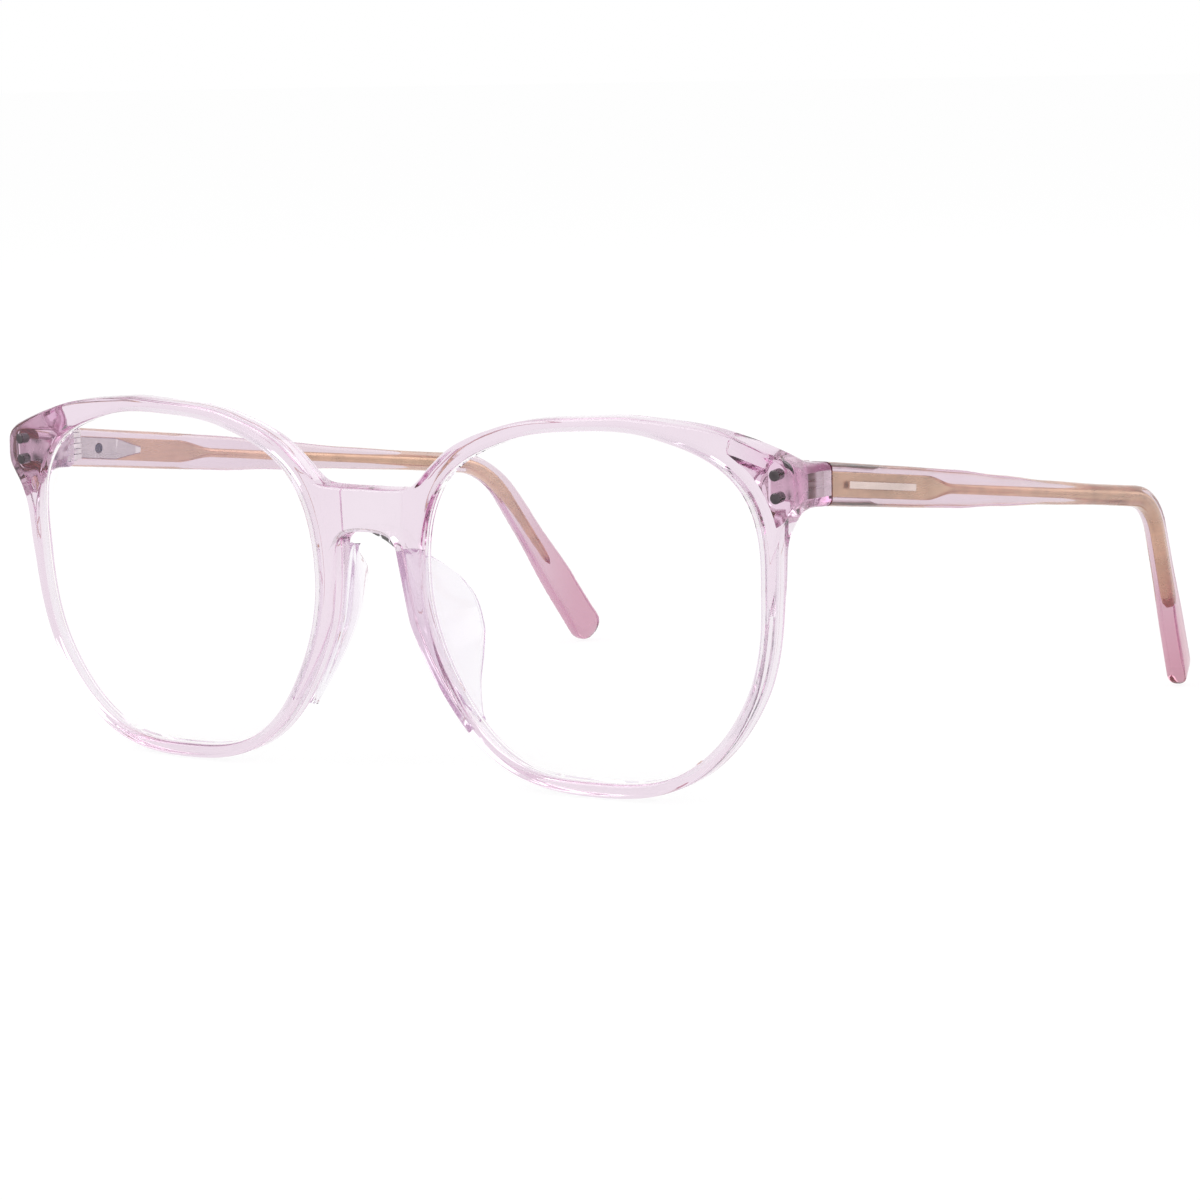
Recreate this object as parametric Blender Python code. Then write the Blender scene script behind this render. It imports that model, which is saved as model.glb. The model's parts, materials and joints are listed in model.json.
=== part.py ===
# Blue light glasses: clear pink acetate frame with folding temples.
# Sizes are in millimetres and are scaled to metres where the meshes are made.
# X points to the wearer's left, Y from the front towards the ears, Z up; the glasses stand open.

from math import atan2, cos, hypot, pi, radians, sin, sqrt, tan

import bmesh
import bpy
from mathutils import Matrix, Vector

MM = 0.001

# Fits
SEAT_GAP = 0.3
TRIM_GAP = 0.15
RUN_GAP = 0.1

# Front: each lens opening is given by its radius every 30 degrees, from the side of the head, upwards
LENS_CENTRE_X = 35.5
OPENING_RADII = (26.4, 28.0, 23.9, 21.5, 22.9, 26.3, 26.2, 26.2, 27.3, 26.2, 27.6, 27.1)
RIM_WIDTHS = (1.9, 3.6, 2.3, 1.75, 2.1, 2.8, 3.5, 2.3, 1.7, 2.0, 1.7, 1.6)
OPENING_POINTS = 52
RIM_DEPTH = 3.8
RIM_EDGE = 0.6
FRONT_BEND_RADIUS = 600.0
FRONT_TILT = radians(3.8)
BRIDGE_SIDE_X = LENS_CENTRE_X - 30.2
BRIDGE_TOP_Z = 12.5
BRIDGE_UNDER_Z = 6.4

# End pieces: the outer corners of the front, which reach back to the temples
END_SIDE_X = LENS_CENTRE_X + 32.0
END_TOP_Z = 18.0
END_LOW_Z = 11.6
HINGE_SIDE_Z = 14.3
BUTT_DEPTH = 11.3
BUTT_OUTER_X = END_SIDE_X + 1.2
BUTT_HEIGHT = 5.8
BUTT_WALL = 0.85

# Lenses
LENS_DISH_RADIUS = 400.0
LENS_THICKNESS = 1.8
LENS_OVERLAP = 0.45
LENS_BEVEL = 0.6
LENS_RINGS = 3

# Nose pads, by height: wall height Z, how far the pad reaches behind the rim, how far it flares outwards
PAD_STATIONS = ((4.0, 1.1, 0.1), (2.4, 3.2, 0.6), (-0.6, 6.8, 1.6), (-4.2, 8.4, 2.6),
                (-8.0, 8.1, 2.7), (-11.6, 6.3, 1.9), (-14.8, 4.1, 1.0), (-17.6, 2.3, 0.4),
                (-19.4, 1.1, 0.1))
PAD_THICKNESS = 1.7
PAD_HOOK = 1.6

# Temples, measured along their length from the joint with the front
TEMPLE_SLOPE = radians(6.4)
TEMPLE_LEAN = radians(2.7)
TIP_LEAN = radians(15.0)
TEMPLE_STRAIGHT = 97.0
TEMPLE_BEND_RADIUS = 15.7
TEMPLE_TIP = 31.0
TEMPLE_HEIGHTS = ((0, 5.8), (20, 5.6), (37, 5.3), (50, 4.4), (66, 3.5), (84, 3.1), (102, 3.2),
                  (116, 4.1), (130, 5.4), (144, 5.6))
TEMPLE_THICKNESSES = ((0, 4.0), (40, 3.8), (80, 3.1), (112, 2.9), (144, 3.1))
TEMPLE_EDGE = 1.0
TIP_ROUND = 2.6
TEMPLE_STEP = 4.4

# Core wire inside each temple
CORE_PLATE_HEIGHT = 3.2
CORE_PLATE_THICKNESS = 0.8
CORE_PLATE_END = 28.0
CORE_TAPER_END = 35.5
CORE_WIRE_DIAMETER = 1.3
CORE_WIRE_END = 125.0
CORE_OUTWARD = 0.35

# Inlay strip on the outside of each temple
INLAY_START = 4.5
INLAY_END = 23.5
INLAY_HEIGHT = 1.0
INLAY_DEPTH = 0.4
INLAY_PROUD = 0.05

# Hinges: three knuckles on the front leaf, two on the temple leaf
KNUCKLE_RADIUS = 1.25
KNUCKLE_PITCH = 0.8
KNUCKLE_COUNT = 5
SCREW_RADIUS = 0.6
SCREW_HEAD_RADIUS = 1.1
SCREW_HEAD_HEIGHT = 0.7
SCREW_SLOT = 0.3
PIN_INSET = KNUCKLE_RADIUS + 0.45
PIN_SETBACK = 2 * KNUCKLE_RADIUS
LEAF_HEIGHT = 3.2
LEAF_THICKNESS = 0.9
FRONT_LEAF_DEPTH = 3.4
FRONT_LEAF_INWARD = 0.6
FRONT_LEAF_OUTWARD = 4.0
TEMPLE_LEAF_START = 1.6
TEMPLE_LEAF_END = 14.5
TEMPLE_LEAF_POINT = 18.5
LEAF_RIVET_AT = 9.5
LEAF_RIVET_RADIUS = 0.65
LEAF_RIVET_LENGTH = 2.2

# Pin rivets on the end pieces
RIVET_X = END_SIDE_X - 2.6
RIVET_Z = (13.5, 16.5)
RIVET_RADIUS = 0.75
RIVET_LENGTH = 2.4
RIVET_PROUD = 0.15


# Curves

def catmull(a, b, c, d, t):
    """Point between b and c on a Catmull-Rom curve."""
    return (b * 2 + (c - a) * t + (a * 2 - b * 5 + c * 4 - d) * t * t
            + (b * 3 - a - c * 3 + d) * t ** 3) * 0.5


def around(values, angle):
    """Value at an angle of a closed curve given at equal angles."""
    n = len(values)
    place = (angle / (2 * pi)) % 1.0 * n
    i = int(place)
    return catmull(values[i - 1], values[i % n], values[(i + 1) % n], values[(i + 2) % n], place - i)


def along(stations, s):
    """Value at a length s of a smooth curve given as (length, value) pairs."""
    if s <= stations[0][0]:
        return stations[0][1]
    for (s0, v0), (s1, v1) in zip(stations, stations[1:]):
        if s <= s1:
            t = (s - s0) / (s1 - s0)
            return v0 + (v1 - v0) * t * t * (3 - 2 * t)
    return stations[-1][1]


def through(marks, spans):
    """Open smooth line through the marks, each gap cut into the given number of spans."""
    pts = [marks[0] * 2 - marks[1]] + list(marks) + [marks[-1] * 2 - marks[-2]]
    line = []
    for i in range(1, len(pts) - 2):
        line += [catmull(pts[i - 1], pts[i], pts[i + 1], pts[i + 2], k / spans) for k in range(spans)]
    return line + [marks[-1].copy()]


def inset(loop, distance):
    """Closed flat loop moved towards its left-hand side."""
    moved = []
    for i, p in enumerate(loop):
        run = (loop[(i + 1) % len(loop)] - loop[i - 1]).normalized()
        moved.append(p + Vector((-run.y, run.x)) * distance)
    return moved


def rounded_rectangle(width, height, radius, corner_spans=2):
    """Closed flat loop round the origin."""
    r = min(radius, 0.499 * width, 0.499 * height)
    loop = []
    for k, (sx, sy) in enumerate(((1, 1), (-1, 1), (-1, -1), (1, -1))):
        for j in range(corner_spans + 1):
            a = (k + j / corner_spans) * pi / 2
            loop.append(Vector((sx * (width / 2 - r) + r * cos(a), sy * (height / 2 - r) + r * sin(a))))
    return loop


# Objects

def clear_scene():
    for item in list(bpy.data.objects):
        bpy.data.objects.remove(item, do_unlink=True)


def material(name, colour, roughness, metallic=0.0, transmission=0.0):
    mat = bpy.data.materials.new(name)
    mat.use_nodes = True
    shader = mat.node_tree.nodes["Principled BSDF"]
    shader.inputs["Base Color"].default_value = (*colour, 1.0)
    shader.inputs["Roughness"].default_value = roughness
    shader.inputs["Metallic"].default_value = metallic
    shader.inputs["Transmission Weight"].default_value = transmission
    mat.diffuse_color = (*colour, 1.0)
    return mat


def add_empty(name, location, parent=None):
    item = bpy.data.objects.new(name, None)
    item.location = Vector(location) * MM
    item.parent = parent
    bpy.context.collection.objects.link(item)
    return item


def add_mesh(name, bm, mat=None, parent=None):
    """Make an object from a bmesh drawn in millimetres, facing out and smooth between sharp edges."""
    bmesh.ops.triangulate(bm, faces=bm.faces)
    bmesh.ops.recalc_face_normals(bm, faces=bm.faces)
    mesh = bpy.data.meshes.new(name)
    bm.to_mesh(mesh)
    bm.free()
    mesh.transform(Matrix.Scale(MM, 4))
    mesh.shade_smooth()
    mesh.set_sharp_from_angle(angle=radians(35))
    if mat:
        mesh.materials.append(mat)
    item = bpy.data.objects.new(name, mesh)
    item.parent = parent
    bpy.context.collection.objects.link(item)
    return item


def boolean(item, tool, operation="DIFFERENCE"):
    """Cut or join with a helper object that stays hidden."""
    mod = item.modifiers.new(tool.name, "BOOLEAN")
    mod.operation = operation
    mod.solver = "EXACT"
    mod.object = tool
    tool.hide_render = True
    tool.display_type = "WIRE"


def skin(rings):
    """Cover a row of equal loops and cap both ends."""
    bm = bmesh.new()
    rows = [[bm.verts.new(p) for p in ring] for ring in rings]
    count = len(rows[0])
    for lower, upper in zip(rows, rows[1:]):
        for i in range(count):
            j = (i + 1) % count
            bm.faces.new((lower[i], lower[j], upper[j], upper[i]))
    bm.faces.new(rows[0])
    bm.faces.new(rows[-1])
    return bm


def box(name, low, high, mat=None, parent=None):
    low, high = Vector(low), Vector(high)
    ring = ((low.x, low.y), (high.x, low.y), (high.x, high.y), (low.x, high.y))
    rings = [[Vector((x, y, z)) for x, y in ring] for z in (low.z, high.z)]
    return add_mesh(name, skin(rings), mat, parent)


def turned(name, profile, axis_at, direction, mat=None, parent=None, sides=16):
    """Solid of revolution from (radius, height) steps, along a direction from a point."""
    frame = Vector(direction).normalized().to_track_quat("Z", "Y").to_matrix()
    rings = []
    for radius, height in profile:
        ring = [Vector((radius * cos(2 * pi * k / sides), radius * sin(2 * pi * k / sides), height))
                for k in range(sides)]
        rings.append([Vector(axis_at) + frame @ p for p in ring])
    return add_mesh(name, skin(rings), mat, parent)


# Front frame outlines, drawn flat in X and Z

def opening(angle, grow=0.0):
    """Point of the lens opening on the wearer's left, moved outwards by grow."""
    def at(a):
        r = around(OPENING_RADII, a)
        return Vector((LENS_CENTRE_X + r * cos(a), r * sin(a)))
    run = (at(angle + 0.02) - at(angle - 0.02)).normalized()
    return at(angle) + Vector((run.y, -run.x)) * grow


def rim(angle):
    """Point of the outer edge of the rim at the same angle."""
    return opening(angle, around(RIM_WIDTHS, angle))


def opening_loop(grow=0.0):
    return [opening(2 * pi * k / OPENING_POINTS, grow) for k in range(OPENING_POINTS)]


def points(x, z, steps):
    """Flat points given by their steps from a corner."""
    return [Vector((x + dx, z + dz)) for dx, dz in steps]


def half_outline():
    """Outer edge of the front on the wearer's left, from the bridge top round to the bridge underside."""
    rim_top = [rim(radians(a)) for a in range(148, 62, -8)]
    rim_low = [rim(radians(a)) for a in range(4, -172, -6)]
    bridge_top = points(0.0, BRIDGE_TOP_Z, ((0.0, 0.0), (4.0, 0.0)))
    bridge_top += points(BRIDGE_SIDE_X, BRIDGE_TOP_Z, ((2.3, 0.3), (4.3, 1.6)))
    end_piece = points(END_SIDE_X, END_TOP_Z, ((-14.0, 4.5), (-8.0, 2.9), (-3.3, 1.2), (-1.3, 0.2),
                                               (-0.3, -0.9), (0.0, -2.5)))
    end_piece += points(END_SIDE_X, END_LOW_Z, ((0.0, 1.6), (-0.8, 0.0), (-2.0, -2.0), (-3.0, -5.0)))
    bridge_under = points(BRIDGE_SIDE_X, BRIDGE_UNDER_Z, ((0.0, -3.8), (-0.4, -1.8), (-1.5, -0.6)))
    bridge_under += points(0.0, BRIDGE_UNDER_Z, ((2.0, -0.1), (0.0, 0.0)))
    return through(bridge_top + rim_top + end_piece + rim_low + bridge_under, 2)


def full_outline():
    """Closed outer edge, running so that the material lies on its left."""
    left = half_outline()
    right = [Vector((-p.x, p.y)) for p in reversed(left)]
    loop = right[:-1] + left[:-1]
    return loop[::-1]


def bent(x, depth, z):
    """Point of the front at a depth behind its curved face."""
    return Vector((x, depth + x * x / (2 * FRONT_BEND_RADIUS), z))


def tilted(point):
    """Front coordinates turned to the standing position."""
    return Matrix.Rotation(FRONT_TILT, 3, "X") @ Vector(point)


def standing_height():
    """Height of the front's middle above the table, with the rims standing on it."""
    levels = (RIM_EDGE, RIM_DEPTH - RIM_EDGE)
    return -min(tilted(bent(p.x, depth, p.y)).z for p in half_outline() for depth in levels)


def edge_steps():
    """Rounded edge across the depth of the front: (distance in, depth, whether it follows the lens)."""
    soft = [radians(a) for a in (0, 45, 90)]
    steps = [(RIM_EDGE * (1 - sin(a)), RIM_EDGE * (1 - cos(a)), False) for a in soft]
    return steps + [(d, RIM_DEPTH - y, False) for d, y, _ in reversed(steps)]


def groove_steps():
    """Edge of an opening, with the groove that holds the lens."""
    steps = edge_steps()
    mouth = LENS_THICKNESS / 2 + RUN_GAP / 2
    floor = LENS_OVERLAP + SEAT_GAP
    groove = [(0.0, -mouth, True), (floor, -0.4, True), (floor, 0.4, True), (0.0, mouth, True)]
    return steps[:3] + groove + steps[3:]


def front_plate():
    """Front plate with two openings and rounded edges."""
    loops = [full_outline()]
    for side in (1, -1):
        loop = [Vector((side * p.x, p.y)) for p in opening_loop()]
        loops.append(loop[::-1] if side > 0 else loop)
    bm = bmesh.new()
    faces = [[], []]
    for loop, steps in zip(loops, (edge_steps(), groove_steps(), groove_steps())):
        rows = []
        for distance, depth, dished in steps:
            row = []
            for p in inset(loop, distance):
                sunk = depth + (lens_depth(Vector((abs(p.x), p.y))) if dished else 0.0)
                row.append(bm.verts.new(bent(p.x, sunk, p.y)))
            rows.append(row)
        for lower, upper in zip(rows, rows[1:]):
            for i in range(len(loop)):
                j = (i + 1) % len(loop)
                bm.faces.new((lower[i], lower[j], upper[j], upper[i]))
        faces[0].append(rows[0])
        faces[1].append(rows[-1])
    for rows in faces:
        edges = [bm.edges.get((row[i - 1], row[i])) for row in rows for i in range(len(row))]
        bmesh.ops.triangle_fill(bm, use_beauty=True, use_dissolve=False, edges=edges)
    return bm


def lateral_edge(z):
    """Edge of the lens opening beside the end piece, at a height."""
    edge = [p for p in opening_loop() if p.x > LENS_CENTRE_X]
    return min(edge, key=lambda p: abs(p.y - z)).x


def butt_width():
    """Width of the butt joint: the temple, the hinge beside it and a wall."""
    return TEMPLE_THICKNESSES[0][1] + PIN_INSET + KNUCKLE_RADIUS + SEAT_GAP + BUTT_WALL


def end_block(side):
    """Part of an end piece that reaches back from the plate to the butt joint."""
    middle = HINGE_SIDE_Z
    half = BUTT_HEIGHT / 2
    inner = BUTT_OUTER_X - butt_width()
    start = RIM_DEPTH + inner ** 2 / (2 * FRONT_BEND_RADIUS) - 0.6
    sections = ((start, inner - 1.1, END_SIDE_X - 0.1, END_LOW_Z - 3.0, END_TOP_Z - 0.2, 2.4),
                (start + 2.2, inner - 0.2, BUTT_OUTER_X - 0.2, middle - half - 1.1, middle + half + 0.4, 1.8),
                (BUTT_DEPTH, inner, BUTT_OUTER_X, middle - half, middle + half, 1.1))
    rings = []
    for depth, x0, x1, z0, z1, r in sections:
        ring = []
        for p in rounded_rectangle(x1 - x0, z1 - z0, r):
            z = (z0 + z1) / 2 + p.y
            x = max((x0 + x1) / 2 + p.x, lateral_edge(z) + 0.2)
            lean = (z - middle) * tan(FRONT_TILT) if depth == BUTT_DEPTH else 0.0
            ring.append(Vector((side * x, depth + lean, z)))
        rings.append(ring)
    return skin(rings)


# Lenses

def lens_depth(p):
    """Depth of the middle of the lens behind the face of the front."""
    reach = hypot(p.x - LENS_CENTRE_X, p.y)
    edge = 25.5
    return RIM_DEPTH / 2 + (reach * reach - edge * edge) / (2 * LENS_DISH_RADIUS)


def lens_body(side, grow=0.0, thickness=LENS_THICKNESS, bevel=LENS_BEVEL):
    """Dished lens with a bevelled edge that sits in the groove of the rim."""
    edge = opening_loop(LENS_OVERLAP + grow)
    middle = Vector((LENS_CENTRE_X, 0))
    half = thickness / 2

    def ring(scale, offset):
        flat = [middle + (p - middle) * scale for p in edge]
        return [Vector((side * p.x, *bent(p.x, lens_depth(p) + offset, p.y)[1:])) for p in flat]

    shoulder = 1.0 - bevel / 25.0
    inner = [shoulder * (k + 1) / LENS_RINGS for k in range(LENS_RINGS)]
    rings = [ring(s, -half) for s in inner] + [ring(1.0, -0.1), ring(1.0, 0.1)]
    rings += [ring(s, half) for s in reversed(inner)]
    return skin(rings)


# Nose pads

def nasal_edge(z):
    """Outer edge of the rim beside the nose, at a height in front coordinates."""
    edge = [p for p in half_outline() if p.x < LENS_CENTRE_X - 10 and p.y < BRIDGE_UNDER_Z - 0.5]
    for p, q in zip(edge, edge[1:]):
        if p.y <= z <= q.y:
            return p.x + (q.x - p.x) * (z - p.y) / (q.y - p.y)
    return edge[-1].x


def pad_body(side):
    """Clear pad hooked round the back of the nasal side of a rim."""
    rings = []
    behind = RIM_DEPTH + SEAT_GAP
    stations = through([Vector(station) for station in PAD_STATIONS], 3)
    for k, (z, beyond, flare) in enumerate(stations):
        reach = RIM_DEPTH + beyond
        wall = nasal_edge(z) - SEAT_GAP - 0.1
        back = nasal_edge(z) + PAD_THICKNESS
        tip = nasal_edge(z) + flare + 0.8
        start = behind - 0.2 - PAD_HOOK * sqrt(sin(pi * k / (len(stations) - 1)) + 1e-9)
        ring = [(wall, start), (wall - 0.35, start - 0.15), (wall - 0.75, start + 0.5),
                (wall - 0.6 + 0.15 * flare, 0.6 * behind + 0.3 * reach), (tip - 0.8, reach - 0.7),
                (tip - 0.4, reach - 0.15), (tip, reach), (tip + 0.45, reach - 0.25), (tip + 0.6, reach - 0.7),
                (back + 0.55 * flare, 0.55 * behind + 0.45 * reach), (back, behind), (wall, behind)]
        rings.append([Vector((side * x, y + x * x / (2 * FRONT_BEND_RADIUS), z)) for x, y in ring])
    return skin(rings)


# Temples, drawn from the hinge pin with the wearer's left side as the model

def temple_start():
    """Middle of the front end of the temple, from the pin."""
    return Vector((PIN_INSET + TEMPLE_THICKNESSES[0][1] / 2, SEAT_GAP - PIN_SETBACK, 0))


def temple_length(bend):
    return TEMPLE_STRAIGHT + TEMPLE_BEND_RADIUS * bend + TEMPLE_TIP


def temple_line(bend, step=TEMPLE_STEP):
    """Stations (length, point, direction) along the middle of the temple."""
    total = temple_length(bend)
    arc = TEMPLE_BEND_RADIUS * bend
    count = int(total / step)
    ds = total / count
    point = temple_start()
    stations = []
    for k in range(count + 1):
        s = k * ds

        def heading(at):
            turn = min(max((at - TEMPLE_STRAIGHT) / arc, 0.0), 1.0)
            drop = TEMPLE_SLOPE + bend * turn
            lean = TEMPLE_LEAN + (TIP_LEAN - TEMPLE_LEAN) * turn
            return Vector((-sin(lean) * cos(drop), cos(lean) * cos(drop), -sin(drop)))

        stations.append((s, point.copy(), heading(s)))
        point = point + heading(s + ds / 2) * ds
    return stations


def bend_angle(pin_height):
    """Bend that brings the lowest point of the tip down to the table."""
    low, high = radians(10), radians(85)
    for _ in range(30):
        bend = (low + high) / 2
        line = temple_line(bend)
        total = line[-1][0]
        tip = swept(line, total - 2 * TIP_ROUND, total, temple_section(line), round_end=TIP_ROUND)
        if min(p.z for ring in tip for p in ring) > -pin_height:
            low = bend
        else:
            high = bend
    return (low + high) / 2


def temple_frame(heading):
    """Directions across the temple: outwards and upwards."""
    outwards = heading.cross(Vector((0, 0, 1))).normalized()
    return outwards, outwards.cross(heading).normalized()


def swept(line, start, end, section, outward=lambda s: 0.0, square_start=None, round_end=0.0):
    """Body along the temple; section(s) gives (thickness, height, corner radius)."""
    picked = [station for station in line if start + 0.2 < station[0] < end - round_end - 0.2]
    if round_end:
        picked += [station_at(line, end - round_end * (1 - sin(radians(a)))) for a in (0, 25, 45, 60, 75)]
    rings = []
    for s, point, heading in [station_at(line, start)] + picked + [station_at(line, end)]:
        across, up = temple_frame(heading)
        thickness, height, radius = section(s)
        ring = []
        for p in rounded_rectangle(thickness, height, radius):
            q = point + across * (p.x + outward(s)) + up * p.y
            if s == start and square_start is not None:
                q = q + heading * ((square_start - q.y) / heading.y)
            ring.append(q)
        rings.append(ring)
    return rings


def station_at(line, s):
    """Station of the temple line at any length."""
    for (s0, p0, h0), (s1, p1, h1) in zip(line, line[1:]):
        if s <= s1:
            t = (s - s0) / (s1 - s0)
            return s, p0.lerp(p1, t), h0.lerp(h1, t).normalized()
    return line[-1]


def temple_thickness(s):
    return along(TEMPLE_THICKNESSES, s)


def temple_section(line):
    """Section of the acetate, rounded off at the end of the tip."""
    total = line[-1][0]

    def section(s):
        beyond = min(max((s - total + TIP_ROUND) / TIP_ROUND, 0.0), 1.0)
        close = sqrt(1.0 - beyond * beyond)
        height = along(TEMPLE_HEIGHTS, s) * (0.25 + 0.75 * close)
        thickness = temple_thickness(s) * (0.55 + 0.45 * close)
        return thickness, height, TEMPLE_EDGE

    return section


def core_section(grow):
    """Section of the core: a flat plate that tapers into a round wire."""
    def tapered(plate):
        return (0, plate), (CORE_PLATE_END, plate), (CORE_TAPER_END, CORE_WIRE_DIAMETER)

    def section(s):
        thickness = along(tapered(CORE_PLATE_THICKNESS), s) + 2 * grow
        height = along(tapered(CORE_PLATE_HEIGHT), s) + 2 * grow
        return thickness, height, 0.25 if s < CORE_PLATE_END else thickness / 2

    return section


def core_offset(s):
    """How far the core lies outwards of the middle of the temple."""
    return along(((0, CORE_OUTWARD), (CORE_TAPER_END, CORE_OUTWARD), (60, 0.0)), s)


def leaf_section(grow):
    stations = ((0, LEAF_HEIGHT), (TEMPLE_LEAF_END, LEAF_HEIGHT), (TEMPLE_LEAF_POINT, 1.0))
    return lambda s: (LEAF_THICKNESS + 2 * grow, along(stations, s) + 2 * grow, 0.12)


def leaf_offset(s):
    return -(temple_thickness(s) - LEAF_THICKNESS) / 2


def inlay_section(grow):
    return lambda s: (INLAY_DEPTH + 2 * grow, INLAY_HEIGHT + 2 * grow, 0.1)


def inlay_offset(s):
    return (temple_thickness(s) - INLAY_DEPTH) / 2 + INLAY_PROUD


def mirrored(rings, side):
    return [[Vector((side * p.x, p.y, p.z)) for p in ring] for ring in rings]


def knuckle_levels(first):
    """Heights of every second knuckle, from the first one."""
    low = -(KNUCKLE_COUNT - 1) / 2 * KNUCKLE_PITCH
    return [low + KNUCKLE_PITCH * k for k in range(first, KNUCKLE_COUNT, 2)]


def knuckle_ring(z, arm, side):
    """Loops of one knuckle with an arm to its leaf, seen from above; arm lists its far corners."""
    half = (KNUCKLE_PITCH - RUN_GAP) / 2
    a0 = atan2(arm[0][1], arm[0][0])
    a1 = atan2(arm[1][1], arm[1][0])
    start, end = a1 + 0.75, a0 - 0.75 + 2 * pi
    turns = [start + (end - start) * k / 12 for k in range(13)]
    loop = [(KNUCKLE_RADIUS * cos(a), KNUCKLE_RADIUS * sin(a)) for a in turns] + list(arm)
    return [[Vector((side * x, y, level)) for x, y in loop] for level in (z - half, z + half)]


def build_side(name, side, root, front, frame, pin_height, mats):
    """All the pieces of one side; side is 1 on the wearer's left."""
    pin = Vector((side * (BUTT_OUTER_X - TEMPLE_THICKNESSES[0][1] - PIN_INSET), 0, 0))
    butt = tilted((0, BUTT_DEPTH, HINGE_SIDE_Z))
    pin.y, pin.z = butt.y + PIN_SETBACK, pin_height
    fixed = add_empty(name + "_pin", pin, root)
    hinge = add_empty(name + "_hinge", pin, root)
    bend = bend_angle(pin_height)
    line = temple_line(bend)

    add_mesh(name + "_lens", lens_body(side), mats["lens"], front)
    add_mesh(name + "_nose_pad", pad_body(side), mats["pad"], front)
    boolean(frame, add_mesh(name + "_end_block", end_block(side), None, front), "UNION")

    for level, z in zip(("lower", "upper"), RIVET_Z):
        at = bent(side * RIVET_X, 0, z)
        face = Vector((side * RIVET_X / FRONT_BEND_RADIUS, -1, 0)).normalized()
        dome = [(RIVET_RADIUS, -RIVET_LENGTH), (RIVET_RADIUS, RIVET_PROUD - 0.1),
                (RIVET_RADIUS * 0.8, RIVET_PROUD)]
        turned("%s_%s_rivet" % (name, level), dome, at, face, mats["gunmetal"], front)
        hole = [(RIVET_RADIUS + TRIM_GAP, -RIVET_LENGTH - TRIM_GAP), (RIVET_RADIUS + TRIM_GAP, 2)]
        boolean(frame, turned("%s_%s_rivet_hole" % (name, level), hole, at, face, None, front))

    build_front_leaf(name, side, fixed, frame, mats)
    build_screw(name, fixed, mats)
    build_temple(name, side, hinge, line, temple_line(bend, 0.83 * TEMPLE_STEP), mats)


def build_front_leaf(name, side, fixed, frame, mats):
    """Front leaf: an anchor sunk in the end piece and three knuckles."""
    butt = -PIN_SETBACK
    ends = sorted((-side * FRONT_LEAF_INWARD, side * FRONT_LEAF_OUTWARD))
    low = (ends[0], butt - FRONT_LEAF_DEPTH, -LEAF_HEIGHT / 2)
    high = (ends[1], butt, LEAF_HEIGHT / 2)
    leaf = box(name + "_hinge_front_leaf", low, high, mats["steel"], fixed)
    for k, z in enumerate(knuckle_levels(0)):
        arm = ((-KNUCKLE_RADIUS, butt - 0.5), (KNUCKLE_RADIUS, butt - 0.5))
        knuckle = skin(knuckle_ring(z, arm, side))
        boolean(leaf, add_mesh("%s_front_knuckle_%d" % (name, k), knuckle, None, fixed), "UNION")
    bore_knuckles(leaf, name + "_front_bore", fixed)
    gap = Vector((SEAT_GAP, SEAT_GAP, SEAT_GAP))
    pocket = box(name + "_leaf_pocket", Vector(low) - gap, Vector(high) + gap, None, fixed)
    boolean(frame, pocket)
    reach = KNUCKLE_PITCH * KNUCKLE_COUNT / 2 + SEAT_GAP
    slot = box(name + "_knuckle_slot", (-KNUCKLE_RADIUS - SEAT_GAP, butt - 0.5 - SEAT_GAP, -reach),
               (KNUCKLE_RADIUS + SEAT_GAP, butt + 2, reach), None, fixed)
    boolean(frame, slot)


def bore_knuckles(leaf, name, parent):
    reach = KNUCKLE_PITCH * KNUCKLE_COUNT
    bore = [(SCREW_RADIUS + RUN_GAP, -reach), (SCREW_RADIUS + RUN_GAP, reach)]
    boolean(leaf, turned(name, bore, (0, 0, 0), (0, 0, 1), None, parent))


def build_screw(name, fixed, mats):
    """Hinge screw with a slotted head above the knuckles."""
    top = KNUCKLE_PITCH * KNUCKLE_COUNT / 2
    shape = [(SCREW_RADIUS, -top - 0.3), (SCREW_RADIUS, top), (SCREW_HEAD_RADIUS, top + 0.05),
             (SCREW_HEAD_RADIUS, top + 0.6 * SCREW_HEAD_HEIGHT),
             (0.6 * SCREW_HEAD_RADIUS, top + SCREW_HEAD_HEIGHT)]
    screw = turned(name + "_hinge_screw", shape, (0, 0, 0), (0, 0, 1), mats["steel"], fixed)
    slot = box(name + "_screw_slot", (-2, -SCREW_SLOT / 2, top + 0.5 * SCREW_HEAD_HEIGHT),
               (2, SCREW_SLOT / 2, top + 2), None, fixed)
    boolean(screw, slot)


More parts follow.
